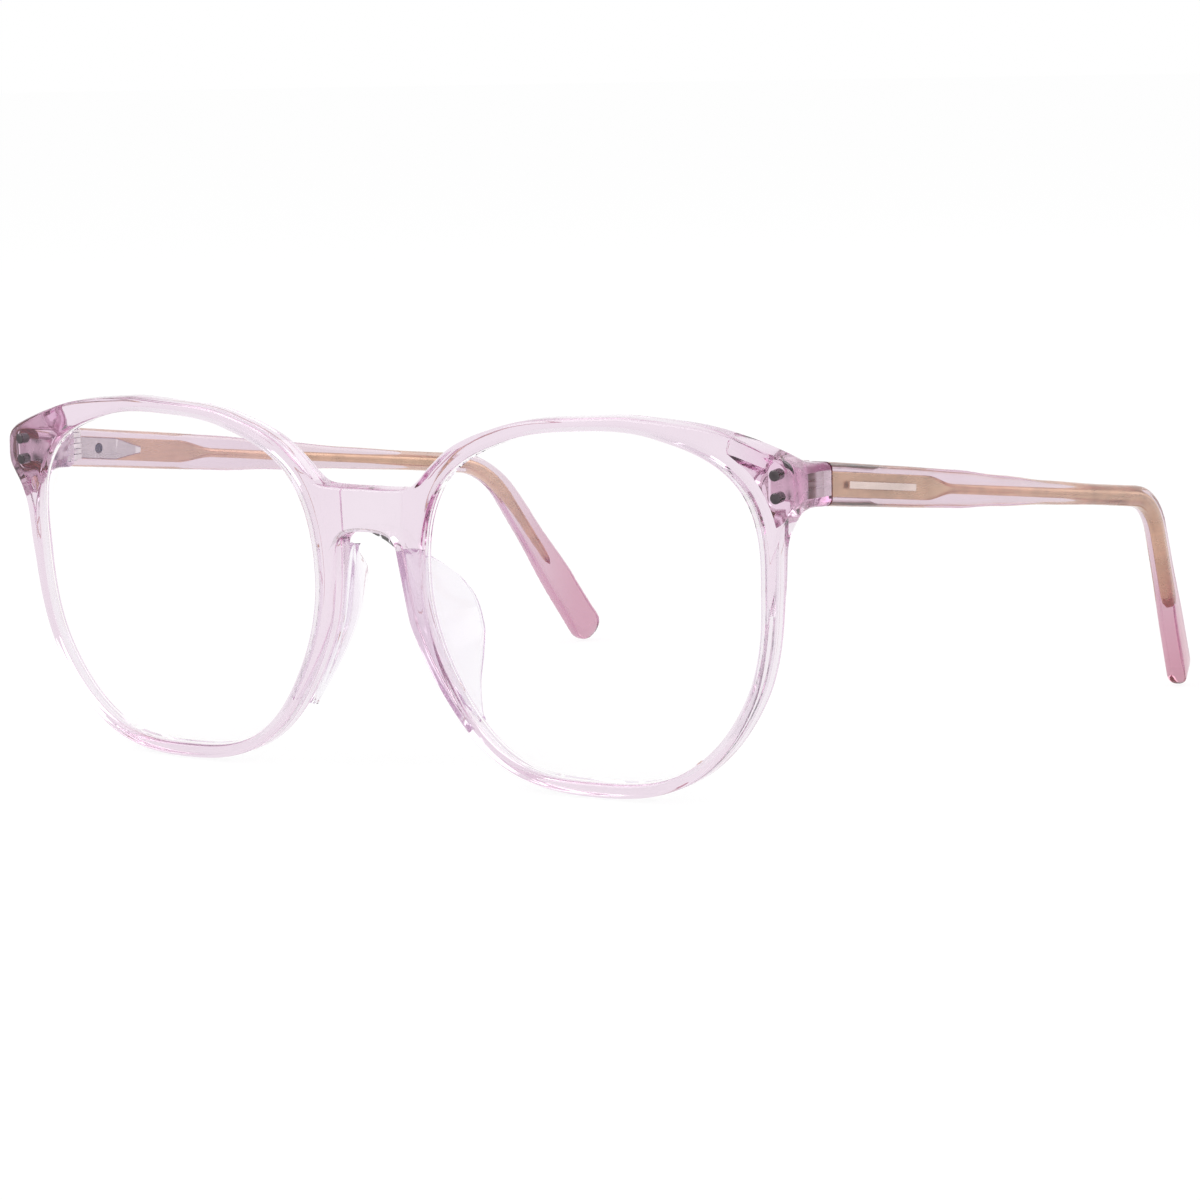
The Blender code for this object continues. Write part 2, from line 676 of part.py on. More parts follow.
def build_temple(name, side, hinge, line, seat_line, mats):
    """Acetate temple with its core wire, hinge leaf, leaf rivet and inlay strip."""
    total = line[-1][0]
    front_end = temple_start().y

    def piece(label, mat, start, end, section, outward=lambda s: 0.0, square=None, tip=0.0):
        rings = swept(line if mat else seat_line, start, end, section, outward, square, tip)
        return add_mesh("%s_%s" % (name, label), skin(mirrored(rings, side)), mat, hinge)

    temple = piece("temple", mats["acetate"], 0, total, temple_section(line), square=front_end, tip=TIP_ROUND)
    core = piece("core_wire", mats["core"], SEAT_GAP, CORE_WIRE_END, core_section(0.0), core_offset)
    leaf = piece("hinge_temple_leaf", mats["steel"], TEMPLE_LEAF_START, TEMPLE_LEAF_POINT,
                 leaf_section(0.0), leaf_offset)
    piece("temple_inlay", mats["strip"], INLAY_START, INLAY_END, inlay_section(0.0), inlay_offset)

    boolean(temple, piece("core_channel", None, 0, CORE_WIRE_END + SEAT_GAP, core_section(SEAT_GAP),
                          core_offset, front_end - 1.0))
    boolean(temple, piece("leaf_seat", None, 0, TEMPLE_LEAF_POINT + SEAT_GAP, leaf_section(SEAT_GAP),
                          leaf_offset, front_end - 1.0))
    boolean(temple, piece("inlay_seat", None, INLAY_START - TRIM_GAP, INLAY_END + TRIM_GAP,
                          inlay_section(TRIM_GAP), inlay_offset))

    for k, z in enumerate(knuckle_levels(1)):
        arm = ((PIN_INSET + 0.6, -0.9), (PIN_INSET + 0.6, 1.1))
        knuckle = skin(knuckle_ring(z, arm, side))
        boolean(leaf, add_mesh("%s_temple_knuckle_%d" % (name, k), knuckle, None, hinge), "UNION")
    bore_knuckles(leaf, name + "_temple_bore", hinge)

    s, point, heading = station_at(line, LEAF_RIVET_AT)
    across, up = temple_frame(heading)
    inner = point - across * (temple_thickness(s) / 2)
    inner.x, across.x = side * inner.x, side * across.x
    shape = [(LEAF_RIVET_RADIUS, 0.05), (LEAF_RIVET_RADIUS, LEAF_RIVET_LENGTH)]
    turned(name + "_leaf_rivet", shape, inner, across, mats["gunmetal"], hinge)
    wide = [(LEAF_RIVET_RADIUS + TRIM_GAP, -1), (LEAF_RIVET_RADIUS + TRIM_GAP, LEAF_RIVET_LENGTH + SEAT_GAP)]
    for item, label in ((temple, "temple"), (leaf, "leaf"), (core, "core")):
        boolean(item, turned("%s_%s_rivet_bore" % (name, label), wide, inner, across, None, hinge))


def world_box(items):
    deps = bpy.context.evaluated_depsgraph_get()
    points = []
    for item in items:
        seen = item.evaluated_get(deps)
        points += [item.matrix_world @ v.co for v in seen.data.vertices]
    return [(min(p[k] for p in points), max(p[k] for p in points)) for k in range(3)]


def main():
    clear_scene()
    mats = {
        "acetate": material("pink_acetate", (0.80, 0.56, 0.70), 0.08, 0.0, 0.9),
        "lens": material("clear_lens", (0.93, 0.93, 0.98), 0.02, 0.0, 1.0),
        "pad": material("clear_pad", (0.92, 0.89, 0.92), 0.1, 0.0, 0.9),
        "core": material("gold_core", (0.72, 0.47, 0.30), 0.35, 1.0),
        "steel": material("hinge_steel", (0.62, 0.60, 0.60), 0.3, 1.0),
        "strip": material("pale_strip", (0.78, 0.74, 0.70), 0.3, 1.0),
        "gunmetal": material("gunmetal", (0.16, 0.15, 0.16), 0.3, 1.0),
    }
    root = add_empty("glasses", (0, 0, 0))
    front = add_empty("front", (0, 0, standing_height()), root)
    front.rotation_euler.x = FRONT_TILT
    frame = add_mesh("front_frame", front_plate(), mats["acetate"], front)
    pin_height = standing_height() + tilted((0, BUTT_DEPTH, HINGE_SIDE_Z)).z
    for name, side in (("left", 1), ("right", -1)):
        build_side(name, side, root, front, frame, pin_height, mats)
    bpy.context.view_layer.update()
    solids = [item for item in bpy.data.objects if item.type == "MESH" and not item.hide_render]
    spread = world_box(solids)
    root.location = (0, -(spread[1][0] + spread[1][1]) / 2, -spread[2][0])
    bpy.context.view_layer.update()


main()
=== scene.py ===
"""Clear pink acetate glasses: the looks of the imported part, laid out as an add-on and run as a script.

Shapes are drawn in millimetres: the front in its own upright frame, each temple from its hinge pin.
"""

import json
from math import cos, hypot, pi, radians, sin, sqrt, tan

import bmesh
import bpy
from bpy.props import FloatProperty, FloatVectorProperty, PointerProperty
from mathutils import Matrix, Vector


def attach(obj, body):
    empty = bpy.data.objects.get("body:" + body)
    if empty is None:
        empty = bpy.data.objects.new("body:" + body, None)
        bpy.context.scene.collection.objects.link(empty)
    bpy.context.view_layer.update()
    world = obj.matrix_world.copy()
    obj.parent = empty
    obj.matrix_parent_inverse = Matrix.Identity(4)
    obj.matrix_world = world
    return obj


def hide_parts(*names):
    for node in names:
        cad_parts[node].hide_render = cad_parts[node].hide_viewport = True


bl_info = {
    "name": "Clear pink glasses",
    "version": (1, 0, 0),
    "blender": (4, 5, 0),
    "location": "View3D > Sidebar > Glasses",
    "description": "Builds the looks of a pair of clear acetate glasses round its packed frame",
    "category": "Object",
}

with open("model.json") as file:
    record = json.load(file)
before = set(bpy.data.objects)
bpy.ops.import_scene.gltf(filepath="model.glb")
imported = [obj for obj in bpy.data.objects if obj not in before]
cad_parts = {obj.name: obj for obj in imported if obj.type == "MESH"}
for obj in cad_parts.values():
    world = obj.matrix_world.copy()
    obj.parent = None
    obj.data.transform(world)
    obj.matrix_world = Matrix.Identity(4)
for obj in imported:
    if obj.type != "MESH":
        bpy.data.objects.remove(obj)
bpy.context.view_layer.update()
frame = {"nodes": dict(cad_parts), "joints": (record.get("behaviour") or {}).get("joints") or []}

MM = 0.001
SIDES = (("left", 1), ("right", -1))

# Front: radius of a lens opening and width of its rim every 30 degrees, from the side of the head, upwards
LENS_CENTRE_X = 35.5
OPENING_RADII = (26.4, 28.0, 23.9, 21.5, 22.9, 26.3, 26.2, 26.2, 27.3, 26.2, 27.6, 27.1)
RIM_WIDTHS = (1.9, 3.6, 2.3, 1.75, 2.1, 2.8, 3.5, 2.3, 1.7, 2.0, 1.7, 1.6)
FRONT_BEND_RADIUS = 600.0
FRONT_TILT = radians(3.8)
BRIDGE_UNDER_Z = 6.4

# Spans in the rounding of an edge, across a rim and up the bridge
EDGE_SPANS = 8
RIM_SPANS = 6
BRIDGE_SPANS = 8

# Points nearer than this are one after solids are joined, in metres
WELD = 2e-6

# End pieces and hinge place
HINGE_SIDE_Z = 14.3
BUTT_DEPTH = 11.3
BUTT_INNER_X = 60.6
BUTT_OUTER_X = 68.7
BUTT_HEIGHT = 5.8
BUTT_CORNER = 1.1
PIN_INSET = 1.7
PIN_SETBACK = 2.5

# Outer edge of the front beside the bridge and at the end piece: x, z and the opening angle it faces, and the
# angles in degrees at which it follows the rim in between
BRIDGE_TOP = ((0.0, 12.5, 163), (4.0, 12.5, 160), (7.6, 12.8, 156), (9.6, 14.1, 152))
END_PIECE = ((53.5, 22.5, 62), (59.5, 20.9, 53), (64.2, 19.2, 45), (66.2, 18.2, 40), (67.2, 17.1, 36),
             (67.5, 15.5, 32), (67.5, 13.2, 27), (66.7, 11.6, 22), (65.5, 9.6, 16), (64.5, 6.6, 10))
RIM_TOP_ANGLES = range(148, 62, -8)
RIM_LOW_ANGLES = range(4, -172, -6)
BRIDGE_UNDER = ((5.3, 2.6, -174.5), (4.9, 4.6, -178), (3.8, 5.8, -181), (2.0, 6.3, -184.5), (0.0, 6.4, -188))

# Share of the rounding that the back of the front loses at an end piece
END_EDGE_LOSS = 0.9

# Block behind an end piece: its middle, the patch of the front that it may grow from, how far it spreads
# there, and the direction along the top of the rim in which it spreads further
BLOCK_CENTRE_X = 64.4
BLOCK_INNER_X = 53.0
BLOCK_LOW_Z = 6.0
BLOCK_HIGH_Z = 24.5
BLOCK_LENS_GAP = 0.9
BLOCK_REACH = 6.2
BLOCK_OPEN_REACH = 9.0
BLOCK_EXTRA_REACH = 4.0
BLOCK_EXTRA_WAY = radians(128)
BLOCK_INSET = 0.02
BLOCK_SINK = 0.6
BLOCK_POINTS = 96
BLOCK_SPANS = 12

# Cut across the back of the bridge: half widths at its mouth and floor, its depth, and how far it runs on
RELIEF_MOUTH = 5.4
RELIEF_FLOOR = 4.9
RELIEF_DEPTH = 0.5
RELIEF_CLEAR = 1.0
RELIEF_BELOW = 4.0
RELIEF_ABOVE = 12.0

# Lenses: curve, hold in the rim, depth of their edge, and the bevel as (share of the radius, offset) rows
LENS_DISH_RADIUS = 400.0
LENS_OVERLAP = 0.45
LENS_FIT = 0.12
LENS_EDGE_DEPTH = 1.9
LENS_EDGE_REACH = 25.5
LENS_FLAT_SHARE = 0.976
LENS_BEVEL = ((0.997, 0.22), (1.0, 0.12))
LENS_POINTS = 180
LENS_RINGS = 12

# Groove for a lens: room at its mouth, swell of its sides and half width of its floor
GROOVE_ROOM = 0.05
GROOVE_SWELL = 0.2
GROOVE_FLOOR = 0.35

# Nose pads: height, reach back and flare; the rim beside them starts this far inside the lens centre
# and this far below the bridge
PAD_STATIONS = ((4.0, 4.9, 0.1), (2.4, 7.0, 0.6), (-0.6, 10.6, 1.6), (-4.2, 12.2, 2.6),
                (-8.0, 11.9, 2.7), (-11.6, 10.1, 1.9), (-14.8, 7.9, 1.0), (-17.6, 6.1, 0.4),
                (-19.4, 4.9, 0.1))
NASAL_REACH = 10.0
NASAL_BELOW = 0.5
PAD_HOOK = 1.6
PAD_BACK_GAP = 0.3
PAD_SIDE_GAP = 0.4
PAD_EDGE = 0.8

# Temples, along their length from the joint with the front
TEMPLE_SLOPE = radians(6.4)
TEMPLE_LEAN = radians(2.7)
TIP_LEAN = radians(15.0)
TEMPLE_STRAIGHT = 97.0
TEMPLE_BEND_RADIUS = 15.7
TEMPLE_TIP = 30.88
TEMPLE_HEIGHTS = ((0, 5.8), (20, 5.6), (37, 5.3), (50, 4.4), (66, 3.5), (84, 3.1), (102, 3.2),
                  (116, 4.1), (130, 5.4), (144, 5.6))
TEMPLE_THICKNESSES = ((0, 4.0), (40, 3.8), (80, 3.1), (112, 2.9), (144, 3.1))
TIP_ROUND = 2.6
TIP_BLUNT = 0.1
ROUND_TURNS = (0, 15, 30, 42, 54, 64, 72, 79, 85)
TEMPLE_GAP = 0.3
TEMPLE_STEP = 1.3
TRIAL_STEP = 3.6
STATION_GAP = 0.2
CORNER_SPANS = 5
ROUND_MOST = 0.48
BEND_LIMITS = (radians(10), radians(85))
BEND_TRIES = 24

# Core of a temple: flat plate, taper and wire, shifted outwards until it is centred
CORE_START = 0.3
CORE_PLATE_END = 28.0
CORE_TAPER_END = 35.5
CORE_CENTRED = 60.0
CORE_WIRE_END = 125.0
CORE_OUTWARD = 0.35
CORE_PLATE_EDGE = 0.2
CORE_POINT = 2.4
CORE_BLUNT = 0.15

# The photographed view, in the front's own frame: place, turn to the side, look down and roll
VIEW_AT = (364.37, -467.47, 103.09)
VIEW_AZIMUTH = radians(34.845)
VIEW_ELEVATION = radians(10.327)
VIEW_ROLL = radians(-3.122)
VIEW_LENS = 131.10
VIEW_SENSOR = 36.0
VIEW_NEAR = 0.01

# Light is followed this many times between the faces of the clear pieces
INNER_BOUNCES = 48

# Where a temple's tint starts and ends its change, in metres along the frame's Y
TINT_START = 0.044
TINT_END = 0.066

# Clear finishes: light and deep cast, refraction, and polish as least and most roughness and ripple strength
ACETATE_CAST = ((0.91, 0.905, 0.92), (0.89, 0.88, 0.90))
TEMPLE_CAST = ((1.0, 1.0, 1.0), (0.96, 0.95, 0.955))
PAD_CAST = ((0.975, 0.965, 0.985), (0.955, 0.945, 0.97))
ACETATE_IOR = 1.49
ACETATE_POLISH = (0.015, 0.05, 0.15)
PAD_IOR = 1.47
PAD_POLISH = (0.03, 0.09, 0.2)
PAD_DEPTH = 48.0
LENS_IOR = 1.5
LENS_POLISH = (0.0, 0.012, 0.02)
RIPPLE = 0.00002

# Stretch of the grain of drawn, brushed and turned metal
DRAWN = (1, 0.03, 1)
BRUSHED = (1, 0.05, 1)
TURNED = (1, 1, 1)

# Stage: lights (name, place, size) in metres, and the floor
KEY_LIGHT = ("key_light", (-0.7, -0.9, 1.1), 0.9)
FILL_LIGHTS = (("fill_light", (1.1, -0.5, 0.7), 0.7), ("back_light", (0.2, 1.1, 0.9), 0.8))
FLOOR_RADIUS = 12.0
FLOOR_DROP = 0.0002
FLOOR_GLOW = 1.1
FLOOR_GLOW_SHARE = 0.8

COLOUR = {"subtype": "COLOR", "size": 3, "min": 0.0, "max": 1.0}


# Sizes and finishes

class FrontSizes(bpy.types.PropertyGroup):
    rim_depth: FloatProperty(name="Rim depth", description="Thickness of the acetate front",
                             default=0.0038, min=0.002, unit="LENGTH")
    rim_edge: FloatProperty(name="Rim edge", description="Radius of the polished edges",
                            default=0.0006, min=0.0001, unit="LENGTH")
    lens_thickness: FloatProperty(name="Lens thickness", description="Thickness of each lens",
                                  default=0.0018, min=0.001, unit="LENGTH")
    pad_thickness: FloatProperty(name="Pad thickness", description="Thickness of each nose pad at the rim",
                                 default=0.0017, min=0.001, unit="LENGTH")


class TempleSizes(bpy.types.PropertyGroup):
    edge: FloatProperty(name="Temple edge", description="Radius of the long edges of a temple",
                        default=0.0010, min=0.0002, unit="LENGTH")
    plate_height: FloatProperty(name="Plate height", description="Height of the flat end of the core",
                                default=0.0032, min=0.001, unit="LENGTH")
    plate_thickness: FloatProperty(name="Plate thickness",
                                   description="Thickness of the flat end of the core",
                                   default=0.0008, min=0.0003, unit="LENGTH")
    wire: FloatProperty(name="Wire", description="Diameter of the core wire",
                        default=0.0013, min=0.0005, unit="LENGTH")


class Finishes(bpy.types.PropertyGroup):
    acetate: FloatVectorProperty(name="Acetate", description="Tint of the acetate over its whole depth",
                                 default=(0.72, 0.20, 0.55), **COLOUR)
    acetate_depth: FloatProperty(name="Acetate depth",
                                 description="How strongly the acetate tints, per metre",
                                 default=65.0, min=0.0)
    lens: FloatVectorProperty(name="Lens", description="Tint of the lenses",
                              default=(0.996, 0.991, 0.995), **COLOUR)
    coating: FloatVectorProperty(name="Coating", description="Colour that the lens coating mirrors",
                                 default=(0.55, 0.42, 1.0), **COLOUR)
    pad: FloatVectorProperty(name="Pad", description="Tint of the nose pads",
                             default=(0.76, 0.57, 0.74), **COLOUR)
    temple_front: FloatVectorProperty(name="Temple front", description="Tint of a temple beside the hinge",
                                      default=(0.815, 0.775, 0.785), **COLOUR)
    temple_tip: FloatVectorProperty(name="Temple tip", description="Deeper tint of a temple at its tip",
                                    default=(0.66, 0.40, 0.45), **COLOUR)
    core: FloatVectorProperty(name="Core", description="Copper-gold of the core wire",
                              default=(0.95, 0.70, 0.47), **COLOUR)
    steel: FloatVectorProperty(name="Hinge steel", description="Satin steel of the hinges",
                               default=(0.86, 0.75, 0.79), **COLOUR)
    strip: FloatVectorProperty(name="Strip", description="Pale metal of the inlay strips",
                               default=(0.78, 0.63, 0.59), **COLOUR)
    pins: FloatVectorProperty(name="Pins", description="Dark metal of the pins",
                              default=(0.14, 0.12, 0.13), **COLOUR)


class StageSettings(bpy.types.PropertyGroup):
    floor: FloatVectorProperty(name="Floor", description="Colour of the floor",
                               default=(0.92, 0.92, 0.92), **COLOUR)
    key: FloatProperty(name="Key light", description="Power of the large light",
                       default=5.0, min=0.0, unit="POWER")
    fill: FloatProperty(name="Fill light", description="Power of each smaller light",
                        default=2.0, min=0.0, unit="POWER")
    sky: FloatProperty(name="Surround", description="Brightness of the white surround",
                       default=0.6, min=0.0)


# Curves

def catmull(a, b, c, d, t):
    """Point between b and c on a Catmull-Rom curve."""
    return (b * 2 + (c - a) * t + (a * 2 - b * 5 + c * 4 - d) * t * t
            + (b * 3 - a - c * 3 + d) * t ** 3) * 0.5


def around(values, angle):
    """Value at an angle of a closed curve given at equal angles."""
    n = len(values)
    place = (angle / (2 * pi)) % 1.0 * n
    i = int(place)
    return catmull(values[i - 1], values[i % n], values[(i + 1) % n], values[(i + 2) % n], place - i)


def along(stations, s):
    """Value at a length s of a smooth curve given as (length, value) pairs."""
    if s <= stations[0][0]:
        return stations[0][1]
    for (s0, v0), (s1, v1) in zip(stations, stations[1:]):
        if s <= s1:
            t = (s - s0) / (s1 - s0)
            return v0 + (v1 - v0) * t * t * (3 - 2 * t)
    return stations[-1][1]


def through(points, spans, before=None, after=None):
    """Open smooth line through the points; before and after shape its ends."""
    first = before or points[0] * 2 - points[1]
    last = after or points[-1] * 2 - points[-2]
    pts = [first] + list(points) + [last]
    line = []
    for i in range(1, len(pts) - 2):
        line += [catmull(pts[i - 1], pts[i], pts[i + 1], pts[i + 2], k / spans) for k in range(spans)]
    return line + [points[-1].copy()]


def smooth_loop(points, spans):
    """Closed smooth loop through the points."""
    n = len(points)
    loop = []
    for i in range(n):
        a, b, c, d = (points[(i + k) % n] for k in (-1, 0, 1, 2))
        loop += [catmull(a, b, c, d, k / spans) for k in range(spans)]
    return loop


def rounded_rectangle(width, height, radius, corner_spans):
    """Closed flat loop round the origin."""
    r = min(radius, 0.499 * width, 0.499 * height)
    loop = []
    for k, (sx, sy) in enumerate(((1, 1), (-1, 1), (-1, -1), (1, -1))):
        for j in range(corner_spans + 1):
            a = (k + j / corner_spans) * pi / 2
            loop.append(Vector((sx * (width / 2 - r) + r * cos(a), sy * (height / 2 - r) + r * sin(a))))
    return loop


# Frames of reference

def tilted(point):
    """Upright front coordinates turned to the standing position."""
    return Matrix.Rotation(FRONT_TILT, 3, "X") @ Vector(point)


def pin_place(side):
    """Middle of a hinge pin in millimetres, from the frame's joints."""
    name = "left_temple_fold" if side > 0 else "right_temple_fold"
    for joint in frame["joints"]:
        if joint["name"] == name:
            return Vector(joint["pos_m"]) / MM
    raise RuntimeError("the frame has no joint named " + name)


def front_place():
    """Origin of the front in millimetres."""
    pin = pin_place(1)
    butt = tilted((0, BUTT_DEPTH, HINGE_SIDE_Z))
    return Vector((0, pin.y - PIN_SETBACK - butt.y, pin.z - butt.z))


def front_world(point):
    """Point of the front, given in millimetres, at its place in metres."""
    return (tilted(point) + front_place()) * MM


def bent(x, depth, z):
    """Point of the front at a depth behind its curved face."""
    return Vector((x, depth + x * x / (2 * FRONT_BEND_RADIUS), z))


# Meshes

def skin(rings):
    """Closed body over a row of equal loops."""
    bm = bmesh.new()
    rows = [[bm.verts.new(p) for p in ring] for ring in rings]
    count = len(rows[0])
    for lower, upper in zip(rows, rows[1:]):
        for i in range(count):
            j = (i + 1) % count
            bm.faces.new((lower[i], lower[j], upper[j], upper[i]))
    bm.faces.new(rows[0])
    bm.faces.new(rows[-1])
    return bm


def finished(mesh, bm, sharp):
    """Write a bmesh into a mesh and shade it smooth between sharp edges."""
    bm.to_mesh(mesh)
    bm.free()
    mesh.shade_smooth()
    mesh.set_sharp_from_angle(angle=radians(sharp))


def piece(name, bm, sharp=35.0):
    """Make an object from a bmesh in metres, smooth between sharp edges."""
    bmesh.ops.recalc_face_normals(bm, faces=bm.faces)
    mesh = bpy.data.meshes.new(name)
    finished(mesh, bm, sharp)
    item = bpy.data.objects.new(name, mesh)
    bpy.context.scene.collection.objects.link(item)
    return item


def convex(face):
    """Whether every corner of a face turns the same way, with some room to spare."""
    face.normal_update()
    for loop in face.loops:
        onward = loop.link_loop_next.vert.co - loop.vert.co
        backward = loop.link_loop_prev.vert.co - loop.vert.co
        if onward.cross(backward).normalized().dot(face.normal) <= 0.5:
            return False
    return True


def joined(item, tools, sharp, operation="UNION", solver="EXACT"):
    """Join helper solids into an item for good, or cut with them, and take the helpers away."""
    for tool in tools:
        mod = item.modifiers.new(tool.name, "BOOLEAN")
        mod.operation = operation
        mod.solver = solver
        mod.object = tool
    bpy.context.view_layer.update()
    deps = bpy.context.evaluated_depsgraph_get()
    mesh = bpy.data.meshes.new_from_object(item.evaluated_get(deps))
    item.modifiers.clear()
    item.data = mesh
    for tool in tools:
        bpy.data.objects.remove(tool, do_unlink=True)
    bm = bmesh.new()
    bm.from_mesh(mesh)
    bmesh.ops.remove_doubles(bm, verts=bm.verts, dist=WELD)
    bmesh.ops.triangulate(bm, faces=[f for f in bm.faces if len(f.verts) > 4 or not convex(f)])
    finished(mesh, bm, sharp)


def dress(item, mat, body, slot, *nodes):
    """Give a new piece its finish and its body, and hide the frame nodes that it stands for."""
    item.data.materials.clear()
    item.data.materials.append(mat)
    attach(item, body)
    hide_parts(*nodes)


# Front

def opening(angle, grow=0.0):
    """Point of the lens opening on the wearer's left, moved outwards by grow."""
    def at(a):
        r = around(OPENING_RADII, a)
        return Vector((LENS_CENTRE_X + r * cos(a), r * sin(a)))
    run = (at(angle + 0.02) - at(angle - 0.02)).normalized()
    return at(angle) + Vector((run.y, -run.x)) * grow


def rim(angle):
    """Point of the outer edge of a rim, at an angle in degrees."""
    return opening(radians(angle), around(RIM_WIDTHS, radians(angle)))


def half_outline(spans=5):
    """Outer edge of one half, bridge top to bridge underside: x, z and the opening angle it faces."""
    marks = [Vector((x, z, radians(a))) for x, z, a in BRIDGE_TOP]
    marks += [Vector((*rim(a), radians(a))) for a in RIM_TOP_ANGLES]
    marks += [Vector((x, z, radians(a))) for x, z, a in END_PIECE]
    marks += [Vector((*rim(a), radians(a))) for a in RIM_LOW_ANGLES]
    marks += [Vector((x, z, radians(a))) for x, z, a in BRIDGE_UNDER]
    before, after = marks[1].copy(), marks[-2].copy()
    before.x, after.x = -before.x, -after.x
    before.z, after.z = 2 * marks[0].z - before.z, 2 * marks[-1].z - after.z
    return through(marks, spans, before, after)


def outline_normals(line):
    """Directions from the outer edge into the material."""
    normals = []
    for i in range(len(line)):
        a = line[max(i - 1, 0)].xy
        b = line[min(i + 1, len(line) - 1)].xy
        run = (b - a).normalized()
        normals.append(Vector((run.y, -run.x)))
    normals[0], normals[-1] = Vector((0, -1)), Vector((0, 1))
    return normals


def lens_depth(p):
    """Depth of the middle of the lens behind the face of the front."""
    reach = hypot(p.x - LENS_CENTRE_X, p.y)
    return LENS_EDGE_DEPTH + (reach * reach - LENS_EDGE_REACH * LENS_EDGE_REACH) / (2 * LENS_DISH_RADIUS)


def end_piece_share(angle):
    """One at the end piece, where the front runs on towards the temple, and nothing elsewhere."""
    first, last, fade = radians(12), radians(60), radians(8)
    return min(max(min(angle - first, last - angle) / fade, 0.0), 1.0)


def front_half(bm, side, sizes):
    """One half of the front as a ladder between its outer edge and its lens opening."""
    depth, edge = sizes.rim_depth / MM, sizes.rim_edge / MM
    turn = [radians(90 * k / EDGE_SPANS) for k in range(EDGE_SPANS + 1)]
    line = half_outline()
    normals = outline_normals(line)
    mouth = sizes.lens_thickness / MM / 2 + GROOVE_ROOM
    floor = LENS_OVERLAP + LENS_FIT
    half_groove = ((0.0, mouth), (0.5 * floor, 0.5 * mouth + GROOVE_SWELL), (floor, GROOVE_FLOOR))
    groove = [(grow, -shift) for grow, shift in half_groove] + list(reversed(half_groove))
    columns = []

    def vert(p, y):
        return bm.verts.new(front_world((side * p.x, *bent(p.x, y, p.y)[1:])))

    def inner_wall(angle):
        steps = []
        for a in turn:
            steps.append(vert(opening(angle, edge * (1 - sin(a))), edge * (1 - cos(a))))
        for grow, shift in groove:
            p = opening(angle, grow)
            steps.append(vert(p, lens_depth(p) + shift))
        for a in reversed(turn):
            steps.append(vert(opening(angle, edge * (1 - sin(a))), depth - edge * (1 - cos(a))))
        return steps

    def column(outer_front, outer_back, angle):
        near = opening(angle, edge)
        face = [vert(outer_front.lerp(near, k / RIM_SPANS), 0.0) for k in range(RIM_SPANS)]
        back = [vert(near.lerp(outer_back, (k + 1) / RIM_SPANS), depth) for k in range(RIM_SPANS)]
        return face + inner_wall(angle) + back

    for mark, normal in zip(line, normals):
        back_edge = edge * (1 - END_EDGE_LOSS * end_piece_share(mark.z))
        col = column(mark.xy + normal * edge, mark.xy + normal * back_edge, mark.z)
        wall = [vert(mark.xy + normal * back_edge * (1 - sin(a)), depth - back_edge * (1 - cos(a)))
                for a in turn[1:]]
        wall += [vert(mark.xy + normal * edge * (1 - sin(a)), edge * (1 - cos(a)))
                 for a in reversed(turn[1:])]
        columns.append((col, wall))
    low = line[-1].y + edge
    high = line[0].y - edge
    for j in range(1, BRIDGE_SPANS):
        t = j / BRIDGE_SPANS
        p = Vector((0.0, low + (high - low) * t))
        angle = line[-1].z + (line[0].z - 2 * pi - line[-1].z) * t
        columns.append((column(p, p, angle), None))
    for (col, wall), (col2, wall2) in zip(columns, columns[1:] + columns[:1]):
        for k in range(len(col) - 1):
            bm.faces.new((col[k], col[k + 1], col2[k + 1], col2[k]))
        if wall and wall2:
            rows = [col[-1]] + wall + [col[0]]
            rows2 = [col2[-1]] + wall2 + [col2[0]]
            for k in range(len(rows) - 1):
                bm.faces.new((rows[k], rows[k + 1], rows2[k + 1], rows2[k]))


def crossing(loop, centre, angle):
    """Distance from a centre to a closed loop in a direction."""
    run = Vector((cos(angle), sin(angle)))
    best = None
    for i, p in enumerate(loop):
        a, b = loop[i - 1] - centre, p - centre
        span = b - a
        den = run.x * span.y - run.y * span.x
        if abs(den) < 1e-9:
            continue
        reach = (a.x * span.y - a.y * span.x) / den
        share = (a.x * run.y - a.y * run.x) / den
        if reach > 0 and -1e-6 <= share <= 1 + 1e-6 and (best is None or reach < best):
            best = reach
    return best


